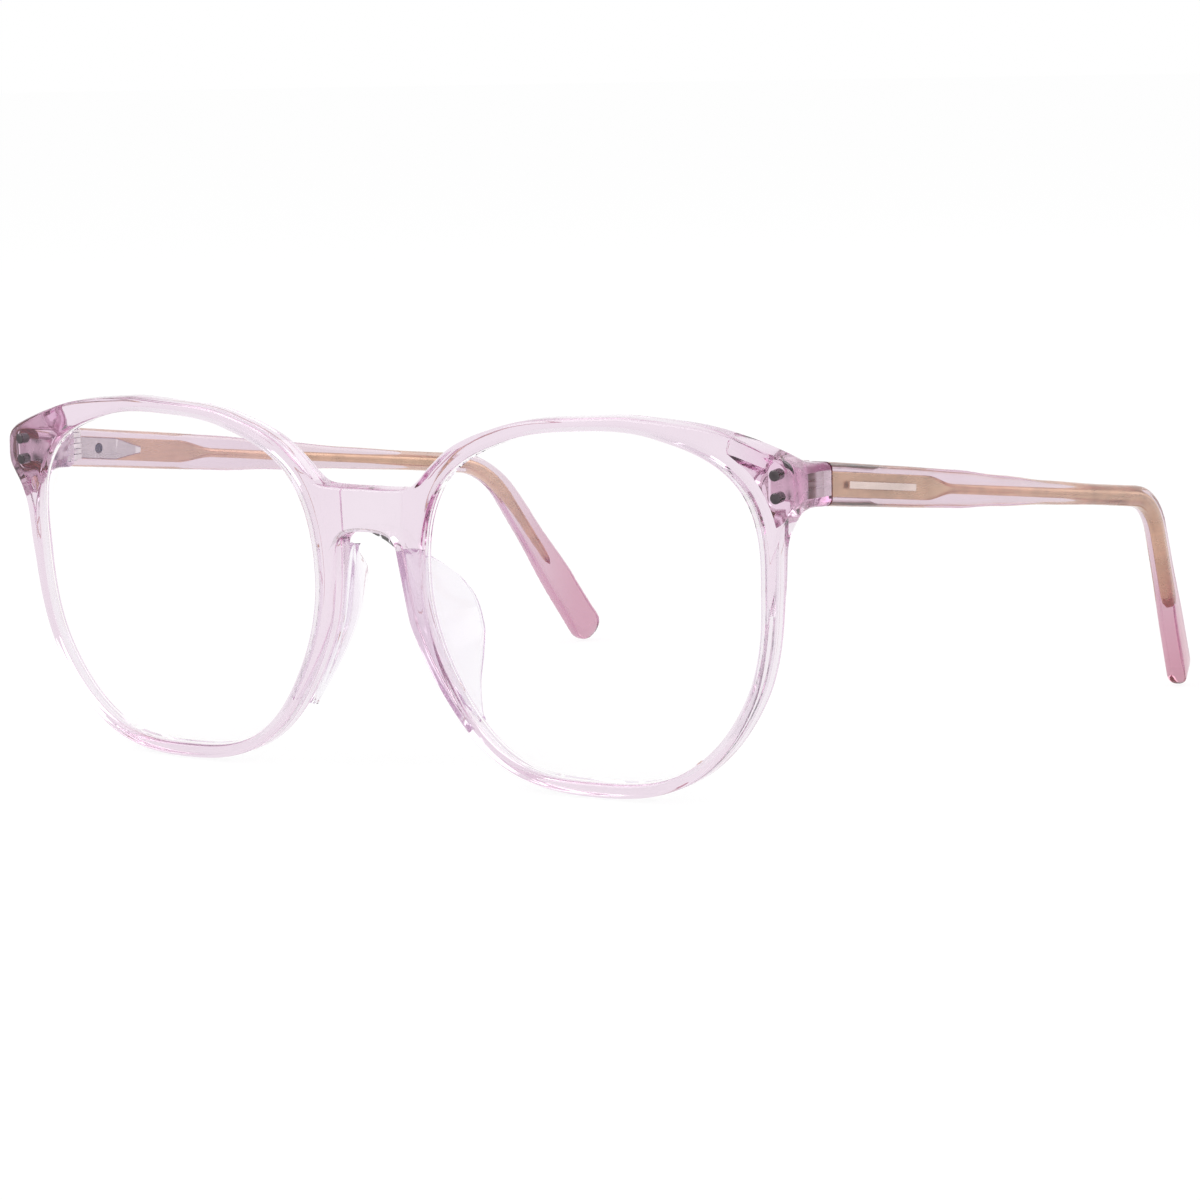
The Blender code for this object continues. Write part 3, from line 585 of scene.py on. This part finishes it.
def end_stub(side, sizes):
    """Part of an end piece that reaches back from the front to the joint with the temple."""
    depth = sizes.rim_depth / MM
    line = [Vector(p.xy) for p in half_outline()]
    lateral = [opening(radians(a), LENS_OVERLAP + LENS_FIT + BLOCK_LENS_GAP) for a in range(-21, 76, 3)]
    patch = [p for p in line if p.x > BLOCK_INNER_X] + lateral
    patch = [p for p in patch if BLOCK_LOW_Z < p.y < BLOCK_HIGH_Z]
    centre = Vector((BLOCK_CENTRE_X, HINGE_SIDE_Z))
    butt = [p + Vector(((BUTT_INNER_X + BUTT_OUTER_X) / 2, HINGE_SIDE_Z))
            for p in rounded_rectangle(BUTT_OUTER_X - BUTT_INNER_X, BUTT_HEIGHT, BUTT_CORNER, 8)]
    rings = []
    for k in range(BLOCK_SPANS + 1):
        t = k / BLOCK_SPANS
        ease = t * t * (3 - 2 * t)
        ring = []
        for i in range(BLOCK_POINTS):
            angle = 2 * pi * i / BLOCK_POINTS
            most = BLOCK_REACH + BLOCK_EXTRA_REACH * max(cos(angle - BLOCK_EXTRA_WAY), 0.0) ** 3
            wide = min(crossing(patch, centre, angle) or BLOCK_OPEN_REACH, most) - BLOCK_INSET
            reach = wide + (crossing(butt, centre, angle) - wide) * ease
            p = centre + Vector((cos(angle), sin(angle))) * reach
            start = bent(p.x, depth - BLOCK_SINK, p.y).y
            end = BUTT_DEPTH + (p.y - HINGE_SIDE_Z) * tan(FRONT_TILT)
            ring.append(front_world((side * p.x, start + (end - start) * t, p.y)))
        rings.append(ring)
    return piece("stub", skin(rings))


def bridge_relief(sizes):
    """Shallow flat cut across the back of the bridge, with sloping ends."""
    depth = sizes.rim_depth / MM
    slope = (RELIEF_MOUTH - RELIEF_FLOOR) / RELIEF_DEPTH
    rise = RELIEF_MOUTH + slope * RELIEF_CLEAR
    section = ((-rise, depth + RELIEF_CLEAR), (-RELIEF_FLOOR, depth - RELIEF_DEPTH),
               (RELIEF_FLOOR, depth - RELIEF_DEPTH), (rise, depth + RELIEF_CLEAR))
    heights = (BRIDGE_UNDER_Z - RELIEF_BELOW, BRIDGE_UNDER_Z + RELIEF_ABOVE)
    rings = [[front_world((x, y, z)) for x, y in section] for z in heights]
    return piece("relief", skin(rings))


def lens_solid(side, sizes):
    """Dished lens with a bevelled edge."""
    half = sizes.lens_thickness / MM / 2
    edge = [opening(2 * pi * k / LENS_POINTS, LENS_OVERLAP) for k in range(LENS_POINTS)]
    middle = Vector((LENS_CENTRE_X, 0))

    def ring(scale, offset):
        flat = [middle + (p - middle) * scale for p in edge]
        return [front_world((side * p.x, *bent(p.x, lens_depth(p) + offset, p.y)[1:])) for p in flat]

    rows = [(LENS_FLAT_SHARE * (k + 1) / LENS_RINGS, half) for k in range(LENS_RINGS)] + list(LENS_BEVEL)
    rings = [ring(scale, -offset) for scale, offset in rows]
    rings += [ring(scale, offset) for scale, offset in reversed(rows)]
    return skin(rings)


def nasal_edge(line, z):
    """Outer edge of the rim beside the nose at a height."""
    inside, top = LENS_CENTRE_X - NASAL_REACH, BRIDGE_UNDER_Z - NASAL_BELOW
    edge = [p for p in line if p.x < inside and p.y < top]
    for p, q in zip(edge, edge[1:]):
        if p.y <= z <= q.y:
            return p.x + (q.x - p.x) * (z - p.y) / (q.y - p.y)
    return edge[-1].x


def pad_solid(side, sizes):
    """Clear pad hooked round the back of the nasal side of a rim."""
    behind = sizes.rim_depth / MM + PAD_BACK_GAP
    line = half_outline(2)
    stations = through([Vector(station) for station in PAD_STATIONS], 6)
    rings = []
    for k, (z, reach, flare) in enumerate(stations):
        edge = nasal_edge(line, z)
        wall = edge - PAD_SIDE_GAP
        back = edge + sizes.pad_thickness / MM
        tip = edge + flare + PAD_EDGE
        start = behind - 0.2 - PAD_HOOK * sqrt(sin(pi * k / (len(stations) - 1)) + 1e-9)
        # Section from the hook, along the side towards the nose, round the edge and back to the rim
        ring = [(wall, start), (wall - 0.35, start - 0.15), (wall - 0.75, start + 0.5),
                (wall - 0.6 + 0.15 * flare, 0.6 * behind + 0.3 * reach), (tip - PAD_EDGE, reach - 0.7),
                (tip - 0.4, reach - 0.15), (tip, reach), (tip + 0.45, reach - 0.25), (tip + 0.6, reach - 0.7),
                (back + 0.55 * flare, 0.55 * behind + 0.45 * reach), (back, behind), (wall, behind)]
        loop = smooth_loop([Vector(p) for p in ring], 4)
        rings.append([front_world((side * p.x, p.y + p.x * p.x / (2 * FRONT_BEND_RADIUS), z)) for p in loop])
    return skin(rings)


# Temples, drawn from the hinge pin with the wearer's left side as the model

def temple_line(bend, step):
    """Stations (length, point, direction) along the middle of the temple."""
    arc = TEMPLE_BEND_RADIUS * bend
    total = TEMPLE_STRAIGHT + arc + TEMPLE_TIP
    count = int(total / step)
    ds = total / count
    point = Vector((PIN_INSET + TEMPLE_THICKNESSES[0][1] / 2, TEMPLE_GAP - PIN_SETBACK, 0))

    def heading(at):
        turn = min(max((at - TEMPLE_STRAIGHT) / arc, 0.0), 1.0)
        drop = TEMPLE_SLOPE + bend * turn
        lean = TEMPLE_LEAN + (TIP_LEAN - TEMPLE_LEAN) * turn
        return Vector((-sin(lean) * cos(drop), cos(lean) * cos(drop), -sin(drop)))

    stations = []
    for k in range(count + 1):
        stations.append((k * ds, point.copy(), heading(k * ds)))
        point = point + heading((k + 0.5) * ds) * ds
    return stations


def station_at(line, s):
    """Station of the temple line at any length."""
    for (s0, p0, h0), (s1, p1, h1) in zip(line, line[1:]):
        if s <= s1:
            t = (s - s0) / (s1 - s0)
            return s, p0.lerp(p1, t), h0.lerp(h1, t).normalized()
    return line[-1]


def swept(line, start, end, section, outward, square_start=None, round_end=0.0):
    """Loops along the temple; section(s) gives thickness, height and corner radius."""
    first, last = start + STATION_GAP, end - round_end - STATION_GAP
    picked = [station for station in line if first < station[0] < last]
    if round_end:
        picked += [station_at(line, end - round_end * (1 - sin(radians(a)))) for a in ROUND_TURNS]
    rings = []
    for s, point, heading in [station_at(line, start)] + picked + [station_at(line, end)]:
        across = heading.cross(Vector((0, 0, 1))).normalized()
        up = across.cross(heading).normalized()
        thickness, height, radius = section(s)
        ring = []
        for p in rounded_rectangle(thickness, height, radius, CORNER_SPANS):
            q = point + across * (p.x + outward(s)) + up * p.y
            if s == start and square_start is not None:
                q = q + heading * ((square_start - q.y) / heading.y)
            ring.append(q)
        rings.append(ring)
    return rings


def temple_section(line, edge):
    """Section of the acetate, rounded off at the end of the tip."""
    total = line[-1][0]

    def section(s):
        beyond = min(max((s - total + TIP_ROUND) / TIP_ROUND, 0.0), 1.0)
        close = TIP_BLUNT + (1 - TIP_BLUNT) * sqrt(1.0 - beyond * beyond)
        height = along(TEMPLE_HEIGHTS, s) * close
        thickness = along(TEMPLE_THICKNESSES, s) * close
        return thickness, height, min(edge, ROUND_MOST * thickness, ROUND_MOST * height)

    return section


def bend_angle(edge, pin_height):
    """Bend that brings the lowest point of the tip down to the table."""
    low, high = BEND_LIMITS
    for _ in range(BEND_TRIES):
        bend = (low + high) / 2
        line = temple_line(bend, TRIAL_STEP)
        total = line[-1][0]
        tip = swept(line, total - 2 * TIP_ROUND, total, temple_section(line, edge), lambda s: 0.0,
                    round_end=TIP_ROUND)
        if min(p.z for ring in tip for p in ring) > -pin_height:
            low = bend
        else:
            high = bend
    return low


def core_section(sizes):
    """Section of the core: a flat plate that tapers into a round wire."""
    plate, thin, wire = (v / MM for v in (sizes.plate_height, sizes.plate_thickness, sizes.wire))
    heights = ((0, plate), (CORE_PLATE_END, plate), (CORE_TAPER_END, wire))
    depths = ((0, thin), (CORE_PLATE_END, thin), (CORE_TAPER_END, wire))

    def section(s):
        thickness = along(depths, s)
        near_end = min(max((CORE_WIRE_END - s) / CORE_POINT, 0.0), 1.0)
        close = CORE_BLUNT + (1 - CORE_BLUNT) * sqrt(1 - (1 - near_end) ** 2)
        radius = CORE_PLATE_EDGE if s < CORE_PLATE_END else thickness / 2
        return thickness * close, along(heights, s) * close, radius

    return section


def core_offset(s):
    """How far the core lies outwards from the middle of the temple."""
    return along(((0, CORE_OUTWARD), (CORE_TAPER_END, CORE_OUTWARD), (CORE_CENTRED, 0.0)), s)


def temple_rings(side, rings):
    """Loops of a temple placed at its hinge pin, in metres."""
    pin = pin_place(side)
    return [[(pin + Vector((side * p.x, p.y, p.z))) * MM for p in ring] for ring in rings]


# Shader node groups: they give colours, masks, values and heights only

def new_group(name, inputs, outputs):
    """Empty node group with named sockets: (name, kind, default) in, (name, kind) out."""
    group = bpy.data.node_groups.new(name, "ShaderNodeTree")
    for label, kind, default in inputs:
        socket = group.interface.new_socket(label, in_out="INPUT", socket_type="NodeSocket" + kind)
        socket.default_value = default
    for label, kind in outputs:
        group.interface.new_socket(label, in_out="OUTPUT", socket_type="NodeSocket" + kind)
    return group, group.nodes.new("NodeGroupInput"), group.nodes.new("NodeGroupOutput")


def feed(tree, socket, value):
    """Link an output to an input, or set the input to a plain value."""
    if hasattr(value, "is_output"):
        tree.links.new(value, socket)
    else:
        socket.default_value = value


def node(tree, kind, feeds=(), **values):
    """Add a node, set its properties and feed its inputs, given as (input, value) pairs."""
    item = tree.nodes.new(kind)
    for key, value in values.items():
        setattr(item, key, value)
    for key, value in feeds:
        feed(tree, item.inputs[key], value)
    return item


def mixed(tree, factor, first, second, blend="MIX"):
    """Mix two colours and give the result."""
    mix = node(tree, "ShaderNodeMix", data_type="RGBA", blend_type=blend)
    colours = [socket for socket in mix.inputs if socket.type == "RGBA"]
    for socket, value in zip([mix.inputs["Factor"]] + colours, (factor, first, second)):
        feed(tree, socket, value)
    return next(socket for socket in mix.outputs if socket.type == "RGBA")


def cast_colour_group():
    """Slow cloudy drift between two tints, as cast sheet has."""
    name = "cast_colour"
    if name in bpy.data.node_groups:
        return bpy.data.node_groups[name]
    group, inp, out = new_group(
        name, (("Light", "Color", (1, 1, 1, 1)), ("Deep", "Color", (1, 1, 1, 1)), ("Scale", "Float", 60.0)),
        (("Color", "Color"),))
    place = node(group, "ShaderNodeTexCoord")
    cloud = node(group, "ShaderNodeTexNoise", (("Vector", place.outputs["Object"]),
                                               ("Scale", inp.outputs["Scale"]), ("Detail", 3.0)))
    mask = node(group, "ShaderNodeMapRange", (("Value", cloud.outputs["Fac"]), ("From Min", 0.35),
                                              ("From Max", 0.65)))
    tint = mixed(group, mask.outputs["Result"], inp.outputs["Light"], inp.outputs["Deep"])
    group.links.new(tint, out.inputs["Color"])
    return group


def length_tint_group():
    """Tint that runs from one colour to another along the length of a temple."""
    name = "length_tint"
    if name in bpy.data.node_groups:
        return bpy.data.node_groups[name]
    group, inp, out = new_group(
        name, (("Near", "Color", (1, 1, 1, 1)), ("Far", "Color", (1, 1, 1, 1)),
               ("Start", "Float", 0.0), ("End", "Float", 1.0)), (("Color", "Color"),))
    place = node(group, "ShaderNodeTexCoord")
    parts = node(group, "ShaderNodeSeparateXYZ", (("Vector", place.outputs["Object"]),))
    mask = node(group, "ShaderNodeMapRange",
                (("Value", parts.outputs["Y"]), ("From Min", inp.outputs["Start"]),
                 ("From Max", inp.outputs["End"])), interpolation_type="SMOOTHSTEP")
    tint = mixed(group, mask.outputs["Result"], inp.outputs["Near"], inp.outputs["Far"])
    group.links.new(tint, out.inputs["Color"])
    return group


def polish_group():
    """Faint wipe marks and ripple of a hand-polished surface."""
    name = "polish"
    if name in bpy.data.node_groups:
        return bpy.data.node_groups[name]
    group, inp, out = new_group(
        name, (("Scale", "Float", 400.0), ("Least", "Float", 0.02), ("Most", "Float", 0.06)),
        (("Roughness", "Float"), ("Height", "Float")))
    place = node(group, "ShaderNodeTexCoord")
    marks = node(group, "ShaderNodeTexNoise", (("Vector", place.outputs["Object"]),
                                               ("Scale", inp.outputs["Scale"]), ("Detail", 4.0),
                                               ("Roughness", 0.65)))
    rough = node(group, "ShaderNodeMapRange", (("Value", marks.outputs["Fac"]), ("From Min", 0.35),
                                               ("From Max", 0.7), ("To Min", inp.outputs["Least"]),
                                               ("To Max", inp.outputs["Most"])))
    group.links.new(rough.outputs["Result"], out.inputs["Roughness"])
    group.links.new(marks.outputs["Fac"], out.inputs["Height"])
    return group


def brushed_group():
    """Fine parallel grain of drawn or brushed metal, with darker stains."""
    name = "brushed"
    if name in bpy.data.node_groups:
        return bpy.data.node_groups[name]
    group, inp, out = new_group(
        name, (("Metal", "Color", (1, 1, 1, 1)), ("Stain", "Color", (1, 1, 1, 1)),
               ("Stretch", "Vector", (1, 1, 1)), ("Least", "Float", 0.2), ("Most", "Float", 0.4)),
        (("Color", "Color"), ("Roughness", "Float"), ("Height", "Float")))
    place = node(group, "ShaderNodeTexCoord")
    drawn = node(group, "ShaderNodeMapping", (("Vector", place.outputs["Object"]),
                                              ("Scale", inp.outputs["Stretch"])))
    grain = node(group, "ShaderNodeTexNoise", (("Vector", drawn.outputs["Vector"]), ("Scale", 1000.0),
                                               ("Detail", 3.0)))
    stain = node(group, "ShaderNodeTexNoise", (("Vector", place.outputs["Object"]), ("Scale", 180.0),
                                               ("Detail", 2.0)))
    both = node(group, "ShaderNodeMath", ((0, grain.outputs["Fac"]), (1, stain.outputs["Fac"])),
                operation="MULTIPLY")
    mask = node(group, "ShaderNodeMapRange", (("Value", both.outputs["Value"]), ("From Min", 0.12),
                                              ("From Max", 0.4)))
    tone = mixed(group, mask.outputs["Result"], inp.outputs["Stain"], inp.outputs["Metal"])
    rough = node(group, "ShaderNodeMapRange", (("Value", grain.outputs["Fac"]), ("From Min", 0.3),
                                               ("From Max", 0.7), ("To Min", inp.outputs["Least"]),
                                               ("To Max", inp.outputs["Most"])))
    group.links.new(tone, out.inputs["Color"])
    group.links.new(rough.outputs["Result"], out.inputs["Roughness"])
    group.links.new(grain.outputs["Fac"], out.inputs["Height"])
    return group


# Materials

def blank_material(name):
    """New node material with its tree and its shader."""
    mat = bpy.data.materials.new(name)
    mat.use_nodes = True
    return mat, mat.node_tree, mat.node_tree.nodes["Principled BSDF"]


def use_group(tree, group, **values):
    """Place a node group with its own values."""
    item = tree.nodes.new("ShaderNodeGroup")
    item.node_tree = group
    for label, value in values.items():
        item.inputs[label].default_value = value
    return item


def bumped(tree, shader, height, strength):
    """Let a height ripple the surface."""
    bump = node(tree, "ShaderNodeBump", (("Height", height), ("Strength", strength), ("Distance", RIPPLE)))
    tree.links.new(bump.outputs["Normal"], shader.inputs["Normal"])


def darker(colour, share):
    """A share of a colour's brightness."""
    return tuple(c * share for c in colour)


def clear_material(name, light, deep, tint, tint_depth, ior, polish):
    """Clear cast plastic or glass: cloudy tint, wipe marks and a colour that deepens with thickness."""
    mat, tree, shader = blank_material(name)
    tone = use_group(tree, cast_colour_group(), Light=(*light, 1), Deep=(*deep, 1), Scale=90.0)
    marks = use_group(tree, polish_group(), Scale=500.0, Least=polish[0], Most=polish[1])
    tree.links.new(tone.outputs["Color"], shader.inputs["Base Color"])
    tree.links.new(marks.outputs["Roughness"], shader.inputs["Roughness"])
    bumped(tree, shader, marks.outputs["Height"], polish[2])
    shader.inputs["Transmission Weight"].default_value = 1.0
    shader.inputs["IOR"].default_value = ior
    if tint_depth:
        inside = node(tree, "ShaderNodeVolumeAbsorption", (("Color", (*tint, 1)), ("Density", tint_depth)))
        tree.links.new(inside.outputs["Volume"], tree.nodes["Material Output"].inputs["Volume"])
    return mat


def metal_material(name, metal, stain_share, stretch, rough, strength):
    """Brushed or drawn metal, stained to a share of its brightness."""
    mat, tree, shader = blank_material(name)
    grain = use_group(tree, brushed_group(), Metal=(*metal, 1), Stain=(*darker(metal, stain_share), 1),
                      Stretch=stretch, Least=rough[0], Most=rough[1])
    tree.links.new(grain.outputs["Color"], shader.inputs["Base Color"])
    tree.links.new(grain.outputs["Roughness"], shader.inputs["Roughness"])
    shader.inputs["Metallic"].default_value = 1.0
    bumped(tree, shader, grain.outputs["Height"], strength)
    return mat


def acetate(finish):
    """Clear pink acetate of the front."""
    return clear_material("pink_acetate", *ACETATE_CAST, finish.acetate, finish.acetate_depth,
                          ACETATE_IOR, ACETATE_POLISH)


def temple_acetate(finish):
    """The front's acetate with a tint that deepens from the hinge to the tip."""
    mat = clear_material("temple_acetate", *TEMPLE_CAST, finish.acetate, finish.acetate_depth,
                         ACETATE_IOR, ACETATE_POLISH)
    tree = mat.node_tree
    shader = tree.nodes["Principled BSDF"]
    run = use_group(tree, length_tint_group(), Near=(*finish.temple_front, 1), Far=(*finish.temple_tip, 1),
                    Start=TINT_START, End=TINT_END)
    cloud = shader.inputs["Base Color"].links[0].from_socket
    tint = mixed(tree, 1.0, run.outputs["Color"], cloud, "MULTIPLY")
    tree.links.new(tint, shader.inputs["Base Color"])
    return mat


# Operators

class GLASSES_OT_front(bpy.types.Operator):
    """Build the acetate front with its end pieces"""
    bl_idname = "glasses.front"
    bl_label = "Front"

    def execute(self, context):
        sizes = context.scene.glasses_front
        bm = bmesh.new()
        for _, side in SIDES:
            front_half(bm, side, sizes)
        bmesh.ops.remove_doubles(bm, verts=bm.verts, dist=WELD / 2)
        shell = piece("front_shell", bm)
        joined(shell, [end_stub(side, sizes) for _, side in SIDES], 35.0)
        joined(shell, [bridge_relief(sizes)], 30.0, "DIFFERENCE", "MANIFOLD")
        dress(shell, acetate(context.scene.glasses_finish), "front", "acetate", "front_frame")
        return {"FINISHED"}


class GLASSES_OT_lenses(bpy.types.Operator):
    """Build both clear lenses"""
    bl_idname = "glasses.lenses"
    bl_label = "Lenses"

    def execute(self, context):
        finish = context.scene.glasses_finish
        mat = clear_material("coated_lens", finish.lens, darker(finish.lens, 0.995), (1, 1, 1), 0.0,
                             LENS_IOR, LENS_POLISH)
        shader = mat.node_tree.nodes["Principled BSDF"]
        shader.inputs["Specular Tint"].default_value = (*finish.coating, 1)
        for label, side in SIDES:
            lens = piece(label + "_lens_clear", lens_solid(side, context.scene.glasses_front), 30.0)
            dress(lens, mat, "front", "lens", label + "_lens")
        return {"FINISHED"}


class GLASSES_OT_pads(bpy.types.Operator):
    """Build both clear nose pads"""
    bl_idname = "glasses.pads"
    bl_label = "Nose pads"

    def execute(self, context):
        finish = context.scene.glasses_finish
        mat = clear_material("clear_pad", *PAD_CAST, finish.pad, PAD_DEPTH, PAD_IOR, PAD_POLISH)
        for label, side in SIDES:
            pad = piece(label + "_pad_clear", pad_solid(side, context.scene.glasses_front), 50.0)
            dress(pad, mat, "front", "clear_pad", label + "_nose_pad")
        return {"FINISHED"}


class GLASSES_OT_temples(bpy.types.Operator):
    """Build both acetate temples with their core wires"""
    bl_idname = "glasses.temples"
    bl_label = "Temples"

    def execute(self, context):
        sizes, finish = context.scene.glasses_temple, context.scene.glasses_finish
        edge = sizes.edge / MM
        bend = bend_angle(edge, pin_place(1).z)
        line = temple_line(bend, TEMPLE_STEP)
        shape = swept(line, 0, line[-1][0], temple_section(line, edge), lambda s: 0.0,
                      TEMPLE_GAP - PIN_SETBACK, TIP_ROUND)
        core_shape = swept(line, CORE_START, CORE_WIRE_END, core_section(sizes), core_offset)
        metal = metal_material("copper_core", finish.core, 0.72, DRAWN, (0.22, 0.42), 0.3)
        clear = temple_acetate(finish)
        for label, side in SIDES:
            arm = label + "_temple_arm"
            shell = piece(label + "_temple_shell", skin(temple_rings(side, shape)))
            dress(shell, clear, arm, "acetate", label + "_temple")
            core = piece(label + "_core_spear", skin(temple_rings(side, core_shape)))
            dress(core, metal, arm, "core_metal", label + "_core_wire")
        return {"FINISHED"}


class GLASSES_OT_metal(bpy.types.Operator):
    """Finish the hinges, pins, rivets and inlay strips"""
    bl_idname = "glasses.metal"
    bl_label = "Hinges and pins"

    def execute(self, context):
        finish = context.scene.glasses_finish
        steel = metal_material("satin_steel", finish.steel, 0.7, BRUSHED, (0.22, 0.4), 0.25)
        strip = metal_material("pale_strip", finish.strip, 0.8, DRAWN, (0.18, 0.34), 0.25)
        pins = metal_material("dark_pins", finish.pins, 0.5, TURNED, (0.15, 0.3), 0.2)
        finishes = {"hinge_front_leaf": steel, "hinge_temple_leaf": steel, "hinge_screw": steel,
                    "temple_inlay": strip, "upper_rivet": pins, "lower_rivet": pins, "leaf_rivet": pins}
        for label, _ in SIDES:
            for part, mat in finishes.items():
                item = frame["nodes"][label + "_" + part]
                item.data.materials.clear()
                item.data.materials.append(mat)
        return {"FINISHED"}


class GLASSES_OT_stage(bpy.types.Operator):
    """Set the floor, soft lights, white surround and the photographed view"""
    bl_idname = "glasses.stage"
    bl_label = "Stage"

    def execute(self, context):
        scene, settings = context.scene, context.scene.glasses_stage
        scene.view_settings.view_transform = "Standard"
        scene.cycles.max_bounces = INNER_BOUNCES
        scene.cycles.glossy_bounces = INNER_BOUNCES
        scene.cycles.transmission_bounces = INNER_BOUNCES
        build_world(scene, settings)
        build_floor(settings)
        build_light(scene, *KEY_LIGHT, settings.key)
        for light in FILL_LIGHTS:
            build_light(scene, *light, settings.fill)
        build_view(scene)
        return {"FINISHED"}


def seen_rays(tree):
    """One for rays from the eye, by mirror or through glass."""
    path = node(tree, "ShaderNodeLightPath")
    seen = path.outputs["Is Camera Ray"]
    for kind in ("Is Glossy Ray", "Is Transmission Ray"):
        larger = node(tree, "ShaderNodeMath", ((0, seen), (1, path.outputs[kind])), operation="MAXIMUM")
        seen = larger.outputs[0]
    return seen


def build_light(scene, name, at, size, power):
    """Square soft light that faces the middle of the stage."""
    lamp = bpy.data.lights.new(name, "AREA")
    lamp.size = size
    lamp.energy = power
    item = bpy.data.objects.new(name, lamp)
    item.location = at
    item.rotation_euler = (-Vector(at)).to_track_quat("-Z", "Y").to_euler()
    scene.collection.objects.link(item)


def build_view(scene):
    """Camera at the photographed view."""
    camera = bpy.data.cameras.new("photo_view")
    camera.lens = VIEW_LENS
    camera.sensor_width = VIEW_SENSOR
    camera.clip_start = VIEW_NEAR
    view = bpy.data.objects.new("photo_view", camera)
    turn = Matrix.Rotation(FRONT_TILT, 4, "X") @ Matrix.Rotation(VIEW_AZIMUTH, 4, "Z")
    turn = turn @ Matrix.Rotation(pi / 2 - VIEW_ELEVATION, 4, "X") @ Matrix.Rotation(VIEW_ROLL, 4, "Z")
    view.matrix_world = Matrix.Translation(front_world(VIEW_AT)) @ turn
    scene.collection.objects.link(view)
    scene.camera = view


def build_world(scene, settings):
    """Plain light for matt surfaces, white where it is seen."""
    world = bpy.data.worlds.new("surround")
    world.use_nodes = True
    scene.world = world
    tree = world.node_tree
    tree.nodes.clear()
    plain = node(tree, "ShaderNodeBackground", (("Color", (1, 1, 1, 1)), ("Strength", settings.sky)))
    white = node(tree, "ShaderNodeBackground", (("Color", (1, 1, 1, 1)), ("Strength", 1.0)))
    mix = node(tree, "ShaderNodeMixShader",
               ((0, seen_rays(tree)), (1, plain.outputs[0]), (2, white.outputs[0])))
    out = node(tree, "ShaderNodeOutputWorld")
    tree.links.new(mix.outputs[0], out.inputs["Surface"])


def build_floor(settings):
    """Wide pale floor that keeps a soft shadow."""
    bm = bmesh.new()
    bmesh.ops.create_circle(bm, cap_ends=True, segments=96, radius=FLOOR_RADIUS)
    floor = piece("floor", bm)
    mat = bpy.data.materials.new("white_floor")
    mat.use_nodes = True
    tree = mat.node_tree
    tree.nodes.clear()
    matt = node(tree, "ShaderNodeBsdfDiffuse", (("Color", (*settings.floor, 1)),))
    glow = node(tree, "ShaderNodeEmission", (("Color", (1, 1, 1, 1)), ("Strength", FLOOR_GLOW)))
    share = node(tree, "ShaderNodeMath", ((0, seen_rays(tree)), (1, FLOOR_GLOW_SHARE)), operation="MULTIPLY")
    mix = node(tree, "ShaderNodeMixShader",
               ((0, share.outputs[0]), (1, matt.outputs[0]), (2, glow.outputs[0])))
    out = node(tree, "ShaderNodeOutputMaterial")
    tree.links.new(mix.outputs[0], out.inputs["Surface"])
    floor.data.materials.append(mat)
    floor.location.z = -FLOOR_DROP


STEPS = (GLASSES_OT_front, GLASSES_OT_lenses, GLASSES_OT_pads, GLASSES_OT_temples, GLASSES_OT_metal,
         GLASSES_OT_stage)


class GLASSES_PT_panel(bpy.types.Panel):
    """Sidebar list of the sizes, finishes and building steps"""
    bl_label = "Glasses"
    bl_idname = "GLASSES_PT_panel"
    bl_space_type = "VIEW_3D"
    bl_region_type = "UI"
    bl_category = "Glasses"

    def draw(self, context):
        layout = self.layout
        for label, _ in SETTINGS:
            group = getattr(context.scene, label)
            for prop in group.bl_rna.properties:
                if not prop.is_readonly and prop.identifier != "name":
                    layout.prop(group, prop.identifier)
        for step in STEPS:
            layout.operator(step.bl_idname)


SETTINGS = (("glasses_front", FrontSizes), ("glasses_temple", TempleSizes), ("glasses_finish", Finishes),
            ("glasses_stage", StageSettings))


def register():
    for label, kind in SETTINGS:
        bpy.utils.register_class(kind)
        setattr(bpy.types.Scene, label, PointerProperty(type=kind))
    for step in STEPS:
        bpy.utils.register_class(step)
    bpy.utils.register_class(GLASSES_PT_panel)


def unregister():
    bpy.utils.unregister_class(GLASSES_PT_panel)
    for step in reversed(STEPS):
        bpy.utils.unregister_class(step)
    for label, kind in reversed(SETTINGS):
        delattr(bpy.types.Scene, label)
        bpy.utils.unregister_class(kind)


def main():
    register()
    bpy.ops.glasses.front()
    bpy.ops.glasses.lenses()
    bpy.ops.glasses.pads()
    bpy.ops.glasses.temples()
    bpy.ops.glasses.metal()
    bpy.ops.glasses.stage()


if __name__ == "__main__":
    main()
